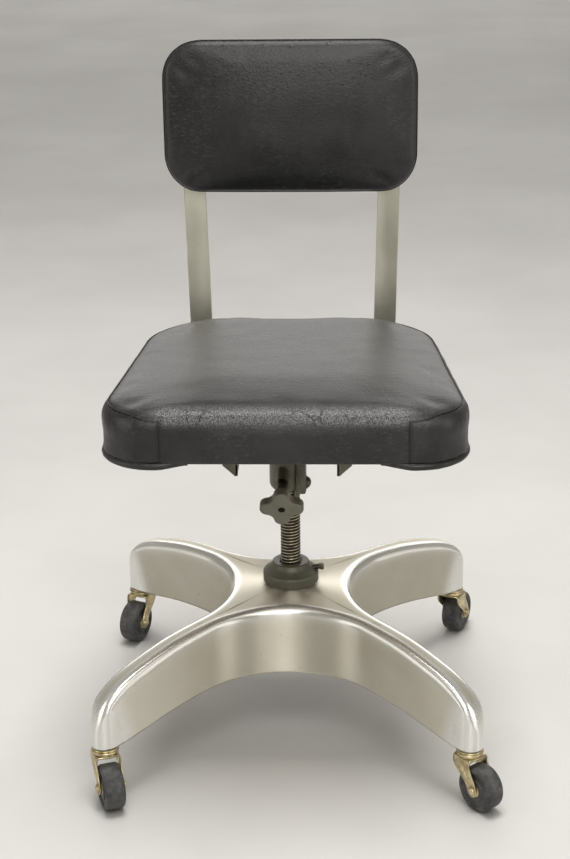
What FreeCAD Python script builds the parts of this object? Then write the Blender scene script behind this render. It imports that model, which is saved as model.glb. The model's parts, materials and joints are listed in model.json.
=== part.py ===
"""Low swivel work chair: cast star base on four casters, screw height adjuster, tilting back.

Units are millimetres.  The origin is on the floor under the spindle axis.  +Z is up, the chair
faces -Y, and +X is the sitter's left.
"""
import FreeCAD
import Part
import math
import os
from FreeCAD import Vector, Placement, Rotation

# ---- casters -------------------------------------------------------------------------------
STEM_OFFSET = 223.0        # stem centres from the spindle axis, along X and along Y
WHEEL_R = 28.5
TREAD_W = 25.4
TREAD_ROUND = 5.0
WHEEL_HUB_R = 9.0
WHEEL_HUB_W = 27.4
AXLE_R = 3.2
FORK_GAP = 28.0
FORK_T = 2.0
FORK_TOP = 66.5
CAP_BOTTOM = 68.5
CAP_TOP = 74.6
CAP_R = 17.0
TRAIL = 21.0
STEM_R = 5.5
STEM_TOP = 124.0
RUN_FIT = 0.05             # radial clearance of every turning fit
CORNERS = {                # name: (side, fore or aft, direction the wheel trails in degrees)
    "front_left": (-1, -1, -69.0),
    "front_right": (1, -1, -50.0),
    "back_left": (-1, 1, 247.0),
    "back_right": (1, 1, 65.0),
}

# ---- star base -----------------------------------------------------------------------------
LEG_W = 32.0
LEG_FILLET = 134.5         # plan radius of the sweep from one leg to the next
FOOT_Z = 76.0
HUB_Z = 191.0
WALL = 4.5
CROWN_T = 5.0
NOSE_START = 262.0         # radius at which the top of a leg starts to roll down
NOSE_START_Z = 166.0
NOSE_END_Z = 100.0
TOP_LINE = ((0, HUB_Z), (50, HUB_Z), (95, 187.5), (150, 185.0), (200, 180.0), (235, 173.0),
            (NOSE_START, NOSE_START_Z))
NOSE_OVER = 0.5            # the rolled top runs this far past the foot's face
TOP_ROUND = 10.0
STEM_BOSS_R = 12.5
SOCKET_R = 8.0
SOCKET_TOP = 130.0
TUBE_R = 22.0
TUBE_BORE = 18.5
TUBE_BOTTOM = 98.0
HUB_BOSS_R = 29.0
HUB_BOSS_BOTTOM = 140.0

# ---- height screw --------------------------------------------------------------------------
SPINDLE_R = 13.0
SPINDLE_BOTTOM = 105.0
SPINDLE_TOP = 345.0
THREAD_BOTTOM = 112.0
THREAD_TOP = 321.0
THREAD_PITCH = 25.4 / 6.0
THREAD_DEPTH = 1.9
KEYWAY_W = 5.0
KEYWAY_FLOOR = 10.6        # distance of the keyway's floor from the axis
BUSH_FLANGE_R = 21.0
BUSH_BOTTOM = 94.0
BUSH_TOP = 190.0
AXIAL_PLAY = 0.4
NUT_R = 36.0
NUT_BOTTOM = 194.0
NUT_SHOULDER = 209.0
NUT_TOP = 221.0
NUT_TOP_R = 22.0
SET_SCREW_R = 3.5
SET_SCREW_IN = Vector(SPINDLE_R + 1, 0, 207)
SET_SCREW_OUT = Vector(NUT_R + 1, 0, 212.1)
SET_HEAD_L = 6.0
RACE_IN = 19.0
RACE_OUT = 30.0
RACE_T = 2.2
BALL_R = 2.3
BALL_COUNT = 18

# ---- tilt control --------------------------------------------------------------------------
BOSS_R = 23.0
BOSS_X = -3.0
BOSS_BOTTOM = 322.0
BOSS_ROUND = 11.0
HOUSING_HALF = 61.0
HOUSING_FRONT = -45.0
HOUSING_BACK = 42.0
HOUSING_BOTTOM = 380.0
HOUSING_TOP = 404.0
HOUSING_WALL = 4.0
PLATE_T = 3.0
PLATE_FRONT = -95.0
PLATE_BACK = 82.0
PLATE_TIP_Z = 378.0
FLANGE_W = 18.0
BOARD_BOTTOM = 441.0
BOARD_T = 12.0
BOARD_TOP = BOARD_BOTTOM + BOARD_T
GLIDE_X = 88.0
GLIDE_Y = -180.0
GLIDE_R = 11.0
PIVOT_Y = 60.0
PIVOT_Z = 400.0
PIVOT_R = 6.0
PIVOT_HALF = 141.0
KNOB_FRONT = Vector(-8.0, -82.0, 327.2)
ROD_SLOPE = 23.0
ROD_R = 4.75
ROD_LENGTH = 128.0
ROD_RECESS = 4.0
KNOB_CORE_R = 23.0
KNOB_T = 13.0
KNOB_HUB_R = 11.5
KNOB_HUB_L = 11.0
KNOB_SLEEVE_R = 7.3
KNOB_SLEEVE_END = 58.0     # distance of the sleeve's end from the knob's front face
LOBE_R = 10.0
LOBE_OUT = 17.5
BITE_R = 11.5
BITE_OUT = 29.5
CLAMP_Y = -13.0
CLAMP_Z = 336.0
CLAMP_R = 5.0
CLAMP_IN = 10.0            # where the clamp bolt's shank ends inside the boss
CLAMP_HEAD_R = 7.2
WASHER_R = 8.5
WASHER_T = 1.4
EAR_IN = 12.0
EAR_OUT = 21.0
EAR_FRONT = -24.0
EAR_BACK = 20.0
LOCK_X = 9.0
LOCK_Y = -17.0
LOCK_R = 3.0
LOCK_HEAD = 7.0
LOCK_BOTTOM = 308.0
LOCK_HEAD_TOP = 316.0
LOCK_TOP = 330.0

# ---- back arms -----------------------------------------------------------------------------
BAR_W = 28.0
BAR_T = 5.0
BAR_X = 122.2
BAR_LEAN = 1.27            # outward lean of each upright, degrees
BAR_Z = 409.0
BAR_Y = 202.0
BAR_BEND = 28.0
BAR_FRONT = 46.0
SLEEVE_R = 11.0
HINGE_Z = 776.0
HINGE_Y = BAR_Y + BAR_T / 2
EYE_R = 6.5
HINGE_PIN_R = 3.0

# ---- upholstery ----------------------------------------------------------------------------
SEAT_FRONT = -205.0
SEAT_BACK = 166.0
SEAT_HALF_FRONT = 225.0
SEAT_HALF_BACK = 179.0
SEAT_R_FRONT = 62.0
SEAT_R_BACK = 108.0
SEAT_TOP = 500.0
SEAT_ROUND = 13.0
SEAT_BOTTOM = 437.4
WELT_R = 4.6
WELT_Z = 434.3
WELT_END_X = 113.0
BACK_HALF_W = 165.0
BACK_BOTTOM = 665.5
BACK_TOP = 866.0
BACK_CORNER = 50.0
BACK_FRONT = 166.0
PAN_FRONT = 190.0
PAN_T = 2.0

Z = Vector(0, 0, 1)
X = Vector(1, 0, 0)


def save(node, shape):
    """Write one sub-part, as clean solids, under its node name."""
    os.makedirs("parts", exist_ok=True)
    solids = shape.Solids
    result = solids[0] if len(solids) == 1 else Part.makeCompound(solids)
    result.exportStep("parts/" + node + ".step")
    print(node, len(solids), round(result.Volume / 1000.0, 1), "cm3", result.isValid())


def box(x0, x1, y0, y1, z0, z1):
    """Box between two corners."""
    return Part.makeBox(x1 - x0, y1 - y0, z1 - z0, Vector(x0, y0, z0))


def rod(radius, start, end):
    """Cylinder between two points."""
    line = Vector(*end) - Vector(*start)
    return Part.makeCylinder(radius, line.Length, Vector(*start), line)


def tube(r_out, r_in, start, end):
    """Hollow cylinder between two points."""
    return rod(r_out, start, end).cut(rod(r_in, start, end))


def turned(points):
    """Solid of revolution about Z from (radius, height) corners."""
    corners = [Vector(r, 0, z) for r, z in points]
    wire = Part.makePolygon(corners + corners[:1])
    return Part.Face(wire).revolve(Vector(0, 0, 0), Z, 360)


def rounded_outline(corners, radii, z):
    """Closed wire through corners, each one rounded to its own radius."""
    edges = []
    ends = []
    count = len(corners)
    for i in range(count):
        here = Vector(*corners[i], z)
        before = (Vector(*corners[i - 1], z) - here).normalize()
        after = (Vector(*corners[(i + 1) % count], z) - here).normalize()
        half = before.getAngle(after) / 2
        reach = radii[i] / math.tan(half)
        middle = (before + after).normalize() * (radii[i] / math.sin(half) - radii[i])
        ends.append((here + before * reach, here + middle, here + after * reach))
    for i in range(count):
        edges.append(Part.Arc(*ends[i]).toShape())
        start = ends[i][2]
        end = ends[(i + 1) % count][0]
        if (end - start).Length > 0.01:
            edges.append(Part.makeLine(start, end))
    return Part.Wire(Part.__sortEdges__(edges))


def slab(wire, height):
    """Upright solid on a closed outline."""
    return Part.Face(wire).extrude(Vector(0, 0, height))


# ---- star base -----------------------------------------------------------------------------
def star_outline(half_width, fillet, end_radius, z):
    """Plan outline of the four diagonal legs with swept corners and round feet."""
    reach = STEM_OFFSET * math.sqrt(2)
    hollow = (half_width + fillet) * math.sqrt(2)
    edges = []
    for i in range(4):
        turn = Rotation(Z, 90 * i)
        leg = Vector(math.cos(math.pi / 4), math.sin(math.pi / 4), 0)
        side = Vector(-leg.y, leg.x, 0)
        foot = leg * reach
        tangent = leg * (half_width + fillet)
        arc_mid = Vector(0, hollow - fillet, 0)
        next_leg = Rotation(Z, 90).multVec(leg)
        next_tangent = next_leg * (half_width + fillet) - Rotation(Z, 90).multVec(side) * half_width
        points = {
            "right": foot - side * half_width,
            "tip": foot + leg * end_radius,
            "left": foot + side * half_width,
            "root": tangent + side * half_width,
            "hollow": arc_mid,
            "next": next_tangent,
            "next_foot": next_leg * reach - Rotation(Z, 90).multVec(side) * half_width,
        }
        p = {name: turn.multVec(v) + Vector(0, 0, z) for name, v in points.items()}
        edges.append(Part.Arc(p["right"], p["tip"], p["left"]).toShape())
        edges.append(Part.makeLine(p["left"], p["root"]))
        edges.append(Part.Arc(p["root"], p["hollow"], p["next"]).toShape())
        edges.append(Part.makeLine(p["next"], p["next_foot"]))
    return Part.Wire(Part.__sortEdges__(edges))


def nose_arc(drop):
    """Quarter ellipse over the foot, as (radius, height) points, lowered by drop all round."""
    end = STEM_OFFSET * math.sqrt(2) + LEG_W / 2 + NOSE_OVER - drop
    across = end - NOSE_START
    down = NOSE_START_Z - NOSE_END_Z - drop
    start_z = NOSE_START_Z - drop
    points = []
    steps = 10
    for i in range(1, steps + 1):
        t = math.pi / 2 * i / steps
        points.append((NOSE_START + across * math.sin(t), start_z - down * (1 - math.cos(t))))
    return points


def crown_solid(drop, floor):
    """Solid of revolution under the legs' top line, lowered by drop, cut off along the skirt."""
    top = [(radius, height - drop) for radius, height in TOP_LINE]
    nose = nose_arc(drop)
    curve = Part.BSplineCurve()
    curve.interpolate([Vector(r, 0, z) for r, z in [top[-1]] + nose])
    rise = Part.BSplineCurve()
    skirt = [(290.0, 78.0), (262.0, 83.5), (216.0, 92.0), (170.0, 97.0), (120.0, 98.0)]
    edges = [Part.makeLine(Vector(*flat(a)), Vector(*flat(b))) for a, b in zip(top, top[1:])]
    edges.append(curve.toShape())
    last = nose[-1]
    if floor is None:
        rise.interpolate([Vector(*flat(p)) for p in [(308.0, FOOT_Z)] + skirt])
        corners = [last, (last[0], FOOT_Z), (308.0, FOOT_Z)]
        edges += [Part.makeLine(Vector(*flat(a)), Vector(*flat(b))) for a, b in zip(corners, corners[1:])]
        edges.append(rise.toShape())
        corners = [skirt[-1], (0, skirt[-1][1]), top[0]]
    else:
        corners = [last, (last[0], floor), (0, floor), top[0]]
    edges += [Part.makeLine(Vector(*flat(a)), Vector(*flat(b))) for a, b in zip(corners, corners[1:])]
    wire = Part.Wire(Part.__sortEdges__(edges))
    return Part.Face(wire).revolve(Vector(0, 0, 0), Z, 360)


def flat(point):
    """(radius, height) as a point of the XZ plane."""
    return (point[0], 0, point[1])


def stem_rods(radius, bottom, top):
    """Upright cylinders at the four stems, as one group."""
    rods = []
    for side, fore, trail in CORNERS.values():
        centre = Vector(side * STEM_OFFSET, fore * STEM_OFFSET, bottom)
        rods.append(Part.makeCylinder(radius, top - bottom, centre))
    return Part.makeCompound(rods)


def base_casting():
    """Hollow cast star with a hub boss and four stem bosses."""
    height = HUB_Z - FOOT_Z + 20
    outer = slab(star_outline(LEG_W / 2, LEG_FILLET, LEG_W / 2, FOOT_Z - 10), height)
    outer = outer.common(crown_solid(0, None))
    outer = outer.makeFillet(TOP_ROUND, [e for e in outer.Edges if e.BoundBox.ZMin > NOSE_END_Z - 1])
    core = LEG_W / 2 - WALL
    inner = slab(star_outline(core, LEG_FILLET + WALL, core, FOOT_Z - 10), height)
    inner = inner.common(crown_solid(CROWN_T, FOOT_Z - 5))
    inner = inner.cut(rod(HUB_BOSS_R, (0, 0, HUB_BOSS_BOTTOM), (0, 0, HUB_Z)))
    inner = inner.cut(stem_rods(STEM_BOSS_R, FOOT_Z, HUB_Z))
    casting = outer.cut(inner)
    casting = casting.cut(rod(TUBE_R, (0, 0, HUB_BOSS_BOTTOM - 50), (0, 0, HUB_Z + 5)))
    return casting.cut(stem_rods(SOCKET_R, FOOT_Z - 1, SOCKET_TOP))


def stem_sockets():
    """Steel sleeves pressed into the feet."""
    sleeves = stem_rods(SOCKET_R, FOOT_Z, SOCKET_TOP)
    return sleeves.cut(stem_rods(STEM_R + RUN_FIT, FOOT_Z - 1, SOCKET_TOP - 3))


def socket_tube():
    """Steel tube in the hub that carries the turning bush."""
    return tube(TUBE_R, TUBE_BORE, (0, 0, TUBE_BOTTOM), (0, 0, HUB_Z))


def race(bottom):
    """Flat bearing race."""
    return tube(RACE_OUT, RACE_IN, (0, 0, bottom), (0, 0, bottom + RACE_T))


# ---- casters -------------------------------------------------------------------------------
def caster_place(side, fore, trail):
    """Placement that carries a caster built at the origin, trailing along +X, to its stem."""
    return Placement(Vector(side * STEM_OFFSET, fore * STEM_OFFSET, 0), Rotation(Z, trail))


def caster_stem():
    """Swivel stem with its pressed cap."""
    stem = rod(STEM_R, (0, 0, CAP_BOTTOM), (0, 0, STEM_TOP))
    cap = turned([(0, CAP_BOTTOM), (CAP_R - 1, CAP_BOTTOM), (CAP_R, CAP_BOTTOM + 1.5),
                  (CAP_R, CAP_TOP - 1), (CAP_R - 1.5, CAP_TOP), (0, CAP_TOP)])
    return stem.fuse(cap)


def caster_fork():
    """Pressed fork: round crown and two tapering legs that reach back to the axle."""
    crown = rod(14.5, (0, 0, FORK_TOP - FORK_T), (0, 0, CAP_BOTTOM))
    half = FORK_GAP / 2 + FORK_T
    top_plate = box(-10, TRAIL * 0.6, -half, half, FORK_TOP - FORK_T, FORK_TOP)
    corners = [(-10, FORK_TOP), (-10, FORK_TOP - 7), (TRAIL - 7.5, WHEEL_R - 4),
               (TRAIL + 7.5, WHEEL_R - 4), (TRAIL + 7.5, WHEEL_R + 5), (TRAIL * 0.6, FORK_TOP)]
    leg_wire = Part.makePolygon([Vector(x, 0, z) for x, z in corners + corners[:1]])
    fork = crown.fuse(top_plate)
    for side in (-1, 1):
        leg = Part.Face(leg_wire).extrude(Vector(0, FORK_T, 0))
        leg.translate(Vector(0, half - FORK_T if side > 0 else -half, 0))
        fork = fork.fuse(leg)
    fork = fork.cut(rod(AXLE_R, (TRAIL, -half - 1, WHEEL_R), (TRAIL, half + 1, WHEEL_R)))
    return fork.removeSplitter()


def caster_axle():
    """Riveted axle pin with two domed heads."""
    half = FORK_GAP / 2 + FORK_T
    pin = rod(AXLE_R, (TRAIL, -half, WHEEL_R), (TRAIL, half, WHEEL_R))
    for side in (-1, 1):
        ball = Part.makeSphere(7.0, Vector(TRAIL, side * (half - 4.5), WHEEL_R))
        outside = rod(8.0, (TRAIL, side * half, WHEEL_R), (TRAIL, side * (half + 4), WHEEL_R))
        pin = pin.fuse(ball.common(outside))
    return pin


def wheel_blank(radius, width, edge_round):
    """Wheel body about the axle, with rounded shoulders."""
    start = (TRAIL, -width / 2, WHEEL_R)
    body = rod(radius, start, (TRAIL, width / 2, WHEEL_R))
    if edge_round:
        rims = [e for e in body.Edges if abs(e.Length - 2 * math.pi * radius) < 0.1]
        body = body.makeFillet(edge_round, rims)
    return body


def wheel_tyre():
    """Hard rubber tread with a dished side."""
    body = wheel_blank(WHEEL_R, TREAD_W, TREAD_ROUND)
    for side in (-1, 1):
        dish = Part.makeCone(19.0, 17.0, 2.5, Vector(TRAIL, side * TREAD_W / 2, WHEEL_R), Vector(0, -side, 0))
        body = body.cut(dish)
    return body.cut(rod(WHEEL_HUB_R, (TRAIL, -20, WHEEL_R), (TRAIL, 20, WHEEL_R)))


def wheel_hub():
    """Metal bush that runs on the axle."""
    half = WHEEL_HUB_W / 2
    return tube(WHEEL_HUB_R, AXLE_R + RUN_FIT, (TRAIL, -half, WHEEL_R), (TRAIL, half, WHEEL_R))


# ---- height screw --------------------------------------------------------------------------
def spindle():
    """Lift screw with grooves at the thread pitch and a keyway down the back."""
    points = [(0, SPINDLE_BOTTOM), (SPINDLE_R - 2, SPINDLE_BOTTOM), (SPINDLE_R - 2, THREAD_BOTTOM)]
    turns = int((THREAD_TOP - THREAD_BOTTOM) / THREAD_PITCH)
    for i in range(turns):
        z = THREAD_BOTTOM + i * THREAD_PITCH
        points.append((SPINDLE_R - THREAD_DEPTH, z + 0.3))
        points.append((SPINDLE_R, z + 1.4))
        points.append((SPINDLE_R, z + 2.6))
        points.append((SPINDLE_R - THREAD_DEPTH, z + 3.7))
    points.append((SPINDLE_R, THREAD_TOP))
    points.append((SPINDLE_R, SPINDLE_TOP))
    points.append((0, SPINDLE_TOP))
    screw = turned(points)
    half = KEYWAY_W / 2
    return screw.cut(box(-half, half, KEYWAY_FLOOR, SPINDLE_R + 5, SPINDLE_BOTTOM - 5, THREAD_TOP - 2))


def guide_bush():
    """Turning bush in the socket tube, with a key that slides in the spindle's keyway."""
    body_r = TUBE_BORE - RUN_FIT
    sleeve = rod(body_r, (0, 0, BUSH_BOTTOM), (0, 0, BUSH_TOP))
    flange = rod(BUSH_FLANGE_R, (0, 0, BUSH_BOTTOM), (0, 0, TUBE_BOTTOM - AXIAL_PLAY))
    bush = sleeve.fuse(flange)
    bush = bush.cut(rod(SPINDLE_R + RUN_FIT, (0, 0, BUSH_BOTTOM - 1), (0, 0, BUSH_TOP + 1)))
    half = KEYWAY_W / 2 - RUN_FIT
    key = box(-half, half, KEYWAY_FLOOR + 0.15, SPINDLE_R + 1.5, BUSH_BOTTOM + 36, BUSH_TOP - 8)
    return bush.fuse(key).removeSplitter()


def hub_nut():
    """Painted collar that the screw runs in."""
    collar = turned([(SPINDLE_R + RUN_FIT, NUT_BOTTOM), (NUT_R - 1, NUT_BOTTOM), (NUT_R, NUT_BOTTOM + 1),
                     (NUT_R, NUT_SHOULDER - 2), (NUT_R - 1, NUT_SHOULDER), (NUT_TOP_R + 1, NUT_TOP - 1),
                     (NUT_TOP_R - 1, NUT_TOP), (SPINDLE_R + RUN_FIT, NUT_TOP)])
    recess = rod(RACE_OUT, (0, 0, NUT_BOTTOM - 1), (0, 0, upper_race_z() + RACE_T))
    core = rod(RACE_IN, (0, 0, NUT_BOTTOM - 1), (0, 0, NUT_TOP))
    return collar.cut(recess.cut(core)).cut(rod(SET_SCREW_R, SET_SCREW_IN, SET_SCREW_OUT))


def upper_race_z():
    """Height of the underside of the race that turns with the hub nut."""
    return HUB_Z + RACE_T + RUN_FIT + 2 * BALL_R


def set_screw():
    """Square-headed set screw in the collar's side."""
    shank = rod(SET_SCREW_R, SET_SCREW_IN, SET_SCREW_OUT)
    inner, middle = SET_SCREW_OUT.x, SET_SCREW_OUT.z
    head = box(inner, inner + SET_HEAD_L, -SET_SCREW_R, SET_SCREW_R, middle - SET_SCREW_R, middle + SET_SCREW_R)
    bore = rod(SPINDLE_R + RUN_FIT, (0, 0, NUT_BOTTOM), (0, 0, NUT_TOP))
    return shank.cut(bore).fuse(head)


def thrust_balls():
    """Ring of bearing balls between the two races."""
    balls = []
    for i in range(BALL_COUNT):
        turn = 2 * math.pi * i / BALL_COUNT
        reach = (RACE_IN + RACE_OUT) / 2
        centre = Vector(reach * math.cos(turn), reach * math.sin(turn), upper_race_z() - BALL_R)
        balls.append(Part.makeSphere(BALL_R, centre))
    return Part.makeCompound(balls)


# ---- tilt control --------------------------------------------------------------------------
def rod_axis():
    """Unit vector up the tension rod, from the knob into the housing."""
    slope = math.radians(ROD_SLOPE)
    return Vector(0, math.cos(slope), math.sin(slope))


def on_rod(distance):
    """Point on the rod's axis, measured from the knob's front face."""
    return KNOB_FRONT + rod_axis() * distance


def rod_cylinder(radius, start, end):
    """Cylinder on the rod's axis between two distances from the knob's front face."""
    return rod(radius, on_rod(start), on_rod(end))


def control_housing():
    """Cast housing: round boss on the spindle, clamp ear, and a box between the side plates."""
    boss = Part.makeCylinder(BOSS_R, HOUSING_TOP - BOSS_BOTTOM, Vector(BOSS_X, 0, BOSS_BOTTOM))
    rim = [e for e in boss.Edges if abs(e.BoundBox.ZMax - BOSS_BOTTOM) < 0.01]
    boss = boss.makeFillet(BOSS_ROUND, rim)
    ear = box(EAR_IN, EAR_OUT, EAR_FRONT, EAR_BACK, BOSS_BOTTOM + 1, HOUSING_BOTTOM + 5)
    ear = ear.makeFillet(3, [e for e in ear.Edges if abs(e.BoundBox.XMin - EAR_OUT) < 0.01])
    shell = box(-HOUSING_HALF, HOUSING_HALF, HOUSING_FRONT, HOUSING_BACK, HOUSING_BOTTOM, HOUSING_TOP)
    inside = HOUSING_HALF - HOUSING_WALL
    shell = shell.cut(box(-inside, inside, HOUSING_FRONT + HOUSING_WALL, HOUSING_BACK - HOUSING_WALL,
                          HOUSING_BOTTOM - 5, HOUSING_TOP - HOUSING_WALL))
    housing = boss.fuse(ear).fuse(shell)
    housing = housing.cut(rod(SPINDLE_R, (0, 0, BOSS_BOTTOM - 5), (0, 0, SPINDLE_TOP)))
    housing = housing.cut(rod_cylinder(ROD_R, 40, ROD_LENGTH))
    housing = housing.cut(tension_nut_blank())
    housing = housing.cut(clamp_cylinder(CLAMP_R, CLAMP_IN, EAR_OUT + 20))
    return housing.cut(lock_shank()).removeSplitter()


def clamp_cylinder(radius, start, end):
    """Cylinder on the clamp bolt's axis between two places along X."""
    return rod(radius, (start, CLAMP_Y, CLAMP_Z), (end, CLAMP_Y, CLAMP_Z))


def clamp_bolt():
    """Round-headed bolt that closes the boss on the spindle."""
    seat = EAR_OUT + WASHER_T
    ball = Part.makeSphere(9.0, Vector(seat - 4.9, CLAMP_Y, CLAMP_Z))
    head = ball.common(clamp_cylinder(CLAMP_HEAD_R, seat, seat + 9))
    washer = clamp_cylinder(WASHER_R, EAR_OUT, seat)
    return clamp_cylinder(CLAMP_R, CLAMP_IN, EAR_OUT).fuse(washer).fuse(head)


def lock_shank():
    """Shank of the lock screw, up into the boss."""
    return rod(LOCK_R, (LOCK_X, LOCK_Y, LOCK_HEAD_TOP), (LOCK_X, LOCK_Y, LOCK_TOP))


def lock_screw():
    """Small square-headed screw under the housing."""
    half = LOCK_HEAD / 2
    head = box(LOCK_X - half, LOCK_X + half, LOCK_Y - half, LOCK_Y + half, LOCK_BOTTOM, LOCK_HEAD_TOP)
    return lock_shank().fuse(head)


def tension_rod():
    """Long screw that the knob turns to load the tilt springs."""
    return rod_cylinder(ROD_R, ROD_RECESS, ROD_LENGTH)


def tension_nut_blank():
    """Block on the end of the tension rod."""
    block = box(-11, 11, 0, 12, -9, 9)
    block.Placement = Placement(on_rod(ROD_LENGTH - 12), Rotation(X, ROD_SLOPE))
    return block


def tension_nut():
    """Travelling nut on the tension rod, against the spring legs."""
    return tension_nut_blank().cut(tension_rod())


def tension_knob():
    """Four-lobed hand knob on the rod's front end, with a hub and a long sleeve behind it."""
    knob = Part.makeCylinder(KNOB_CORE_R, KNOB_T)
    for i in range(4):
        lobe = Rotation(Z, 90 * i).multVec(Vector(LOBE_OUT, 0, 0))
        knob = knob.fuse(Part.makeCylinder(LOBE_R, KNOB_T, lobe))
    for i in range(4):
        bite = Rotation(Z, 90 * i + 45).multVec(Vector(BITE_OUT, 0, -1))
        knob = knob.cut(Part.makeCylinder(BITE_R, KNOB_T + 2, bite))
    knob = knob.removeSplitter()
    knob = knob.fuse(Part.makeCone(KNOB_HUB_R + 1, KNOB_HUB_R, KNOB_HUB_L, Vector(0, 0, KNOB_T)))
    knob = knob.fuse(Part.makeCylinder(KNOB_SLEEVE_R, KNOB_SLEEVE_END - KNOB_T, Vector(0, 0, KNOB_T)))
    knob = knob.cut(Part.makeCylinder(ROD_R + RUN_FIT, KNOB_SLEEVE_END + 2, Vector(0, 0, -1)))
    knob.Placement = Placement(KNOB_FRONT, Rotation(X, ROD_SLOPE - 90))
    return knob


def side_plate(side):
    """Formed plate from the front gusset back to the pivot, with a flange under the seat board."""
    inner = HOUSING_HALF
    web = box(inner, inner + PLATE_T, PLATE_FRONT, PLATE_BACK, PLATE_TIP_Z, BOARD_BOTTOM)
    flange = box(inner, inner + FLANGE_W, PLATE_FRONT, PLATE_BACK, BOARD_BOTTOM - PLATE_T, BOARD_BOTTOM)
    outline = [(inner, PLATE_TIP_Z), (inner + PLATE_T, PLATE_TIP_Z), (inner + FLANGE_W, PLATE_TIP_Z + 14),
               (inner + FLANGE_W, BOARD_BOTTOM), (inner, BOARD_BOTTOM)]
    wire = Part.makePolygon([Vector(x, PLATE_FRONT, z) for x, z in outline + outline[:1]])
    gusset = Part.Face(wire).extrude(Vector(0, PLATE_T, 0))
    plate = web.fuse(flange).fuse(gusset).removeSplitter()
    plate = plate.cut(rod(PIVOT_R, (0, PIVOT_Y, PIVOT_Z), (100, PIVOT_Y, PIVOT_Z)))
    for y in bolt_rows():
        plate = plate.cut(rod(3.2, (bolt_x(), y, BOARD_BOTTOM - 5), (bolt_x(), y, BOARD_BOTTOM + 5)))
    return plate if side > 0 else plate.mirror(Vector(0, 0, 0), X)


def bolt_rows():
    """Places of the seat bolts along each side plate."""
    return (PLATE_FRONT + 18, PLATE_BACK - 14)


def bolt_x():
    """Distance of the seat bolts from the middle."""
    return HOUSING_HALF + PLATE_T + 7.5


def seat_bolts():
    """Four bolts up through the side plates' flanges into the seat board."""
    bolts = []
    for side in (-1, 1):
        for y in bolt_rows():
            shank = rod(3.2, (side * bolt_x(), y, BOARD_BOTTOM - PLATE_T), (side * bolt_x(), y, BOARD_TOP - 2))
            top = BOARD_BOTTOM - PLATE_T
            head = rod(6.0, (side * bolt_x(), y, top - 4), (side * bolt_x(), y, top))
            bolts.append(shank.fuse(head))
    return Part.makeCompound(bolts)


def front_glides():
    """Two domed screw heads under the front of the seat board."""
    heads = []
    for side in (-1, 1):
        x = side * GLIDE_X
        ball = Part.makeSphere(GLIDE_R, Vector(x, GLIDE_Y, BOARD_BOTTOM + GLIDE_R / 2))
        below = rod(GLIDE_R, (x, GLIDE_Y, BOARD_BOTTOM - GLIDE_R), (x, GLIDE_Y, BOARD_BOTTOM))
        heads.append(ball.common(below))
    return Part.makeCompound(heads)


def pivot_shaft():
    """Cross shaft that the back arms turn on."""
    return rod(PIVOT_R, (-PIVOT_HALF, PIVOT_Y, PIVOT_Z), (PIVOT_HALF, PIVOT_Y, PIVOT_Z))


def shaft_clips():
    """Retaining rings at both ends of the pivot shaft."""
    rings = []
    for side in (-1, 1):
        rings.append(tube(9.0, PIVOT_R, (side * (PIVOT_HALF - 3), PIVOT_Y, PIVOT_Z),
                          (side * (PIVOT_HALF - 1.5), PIVOT_Y, PIVOT_Z)))
    return Part.makeCompound(rings)


def torsion_springs():
    """Two coil springs on the pivot shaft."""
    springs = []
    for side in (-1, 1):
        path = Part.makeHelix(5.6, 33.6, 11.0)
        section = Part.Wire([Part.makeCircle(2.2, Vector(11.0, 0, 0), Vector(0, 1, 0))])
        coil = Part.Wire(path).makePipeShell([section], True, True)
        coil.Placement = Placement(Vector(side * 20 + (0 if side > 0 else -33.6), PIVOT_Y, PIVOT_Z),
                                   Rotation(Vector(0, 1, 0), 90))
        springs.append(coil)
    return Part.makeCompound(springs)


# ---- back arms -----------------------------------------------------------------------------
def back_bar(side):
    """Flat bar: forward run under the seat, bend, and upright."""
    r_in = BAR_BEND
    r_out = BAR_BEND + BAR_T
    z0 = BAR_Z
    y1 = BAR_Y
    turn = math.sqrt(0.5)
    cy = y1 - r_in
    cz = z0 + BAR_T + r_in
    top = HINGE_Z
    p = [Vector(0, BAR_FRONT, z0), Vector(0, cy, z0), Vector(0, cy + r_out * turn, cz - r_out * turn),
         Vector(0, y1 + BAR_T, cz), Vector(0, y1 + BAR_T, top), Vector(0, y1, top),
         Vector(0, y1, cz), Vector(0, cy + r_in * turn, cz - r_in * turn), Vector(0, cy, z0 + BAR_T),
         Vector(0, BAR_FRONT, z0 + BAR_T)]
    edges = [Part.makeLine(p[0], p[1]), Part.Arc(p[1], p[2], p[3]).toShape(), Part.makeLine(p[3], p[4]),
             Part.makeLine(p[4], p[5]), Part.makeLine(p[5], p[6]), Part.Arc(p[6], p[7], p[8]).toShape(),
             Part.makeLine(p[8], p[9]), Part.makeLine(p[9], p[0])]
    bar = Part.Face(Part.Wire(edges)).extrude(Vector(BAR_W, 0, 0))
    bar.translate(Vector(-BAR_W / 2, 0, 0))
    bar.rotate(Vector(0, 0, z0), Vector(0, 1, 0), BAR_LEAN)
    bar.translate(Vector(BAR_X, 0, 0))
    eye_x = hinge_x()
    eye = rod(EYE_R, (eye_x - BAR_W / 2, HINGE_Y, HINGE_Z), (eye_x + BAR_W / 2, HINGE_Y, HINGE_Z))
    bar = bar.fuse(eye).removeSplitter()
    bar = bar.cut(rod(HINGE_PIN_R + RUN_FIT, (eye_x - 40, HINGE_Y, HINGE_Z), (eye_x + 40, HINGE_Y, HINGE_Z)))
    return bar if side > 0 else bar.mirror(Vector(0, 0, 0), X)


def hinge_x():
    """Distance of the bar's top end from the middle."""
    return BAR_X + (HINGE_Z - BAR_Z) * math.tan(math.radians(BAR_LEAN))


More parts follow.
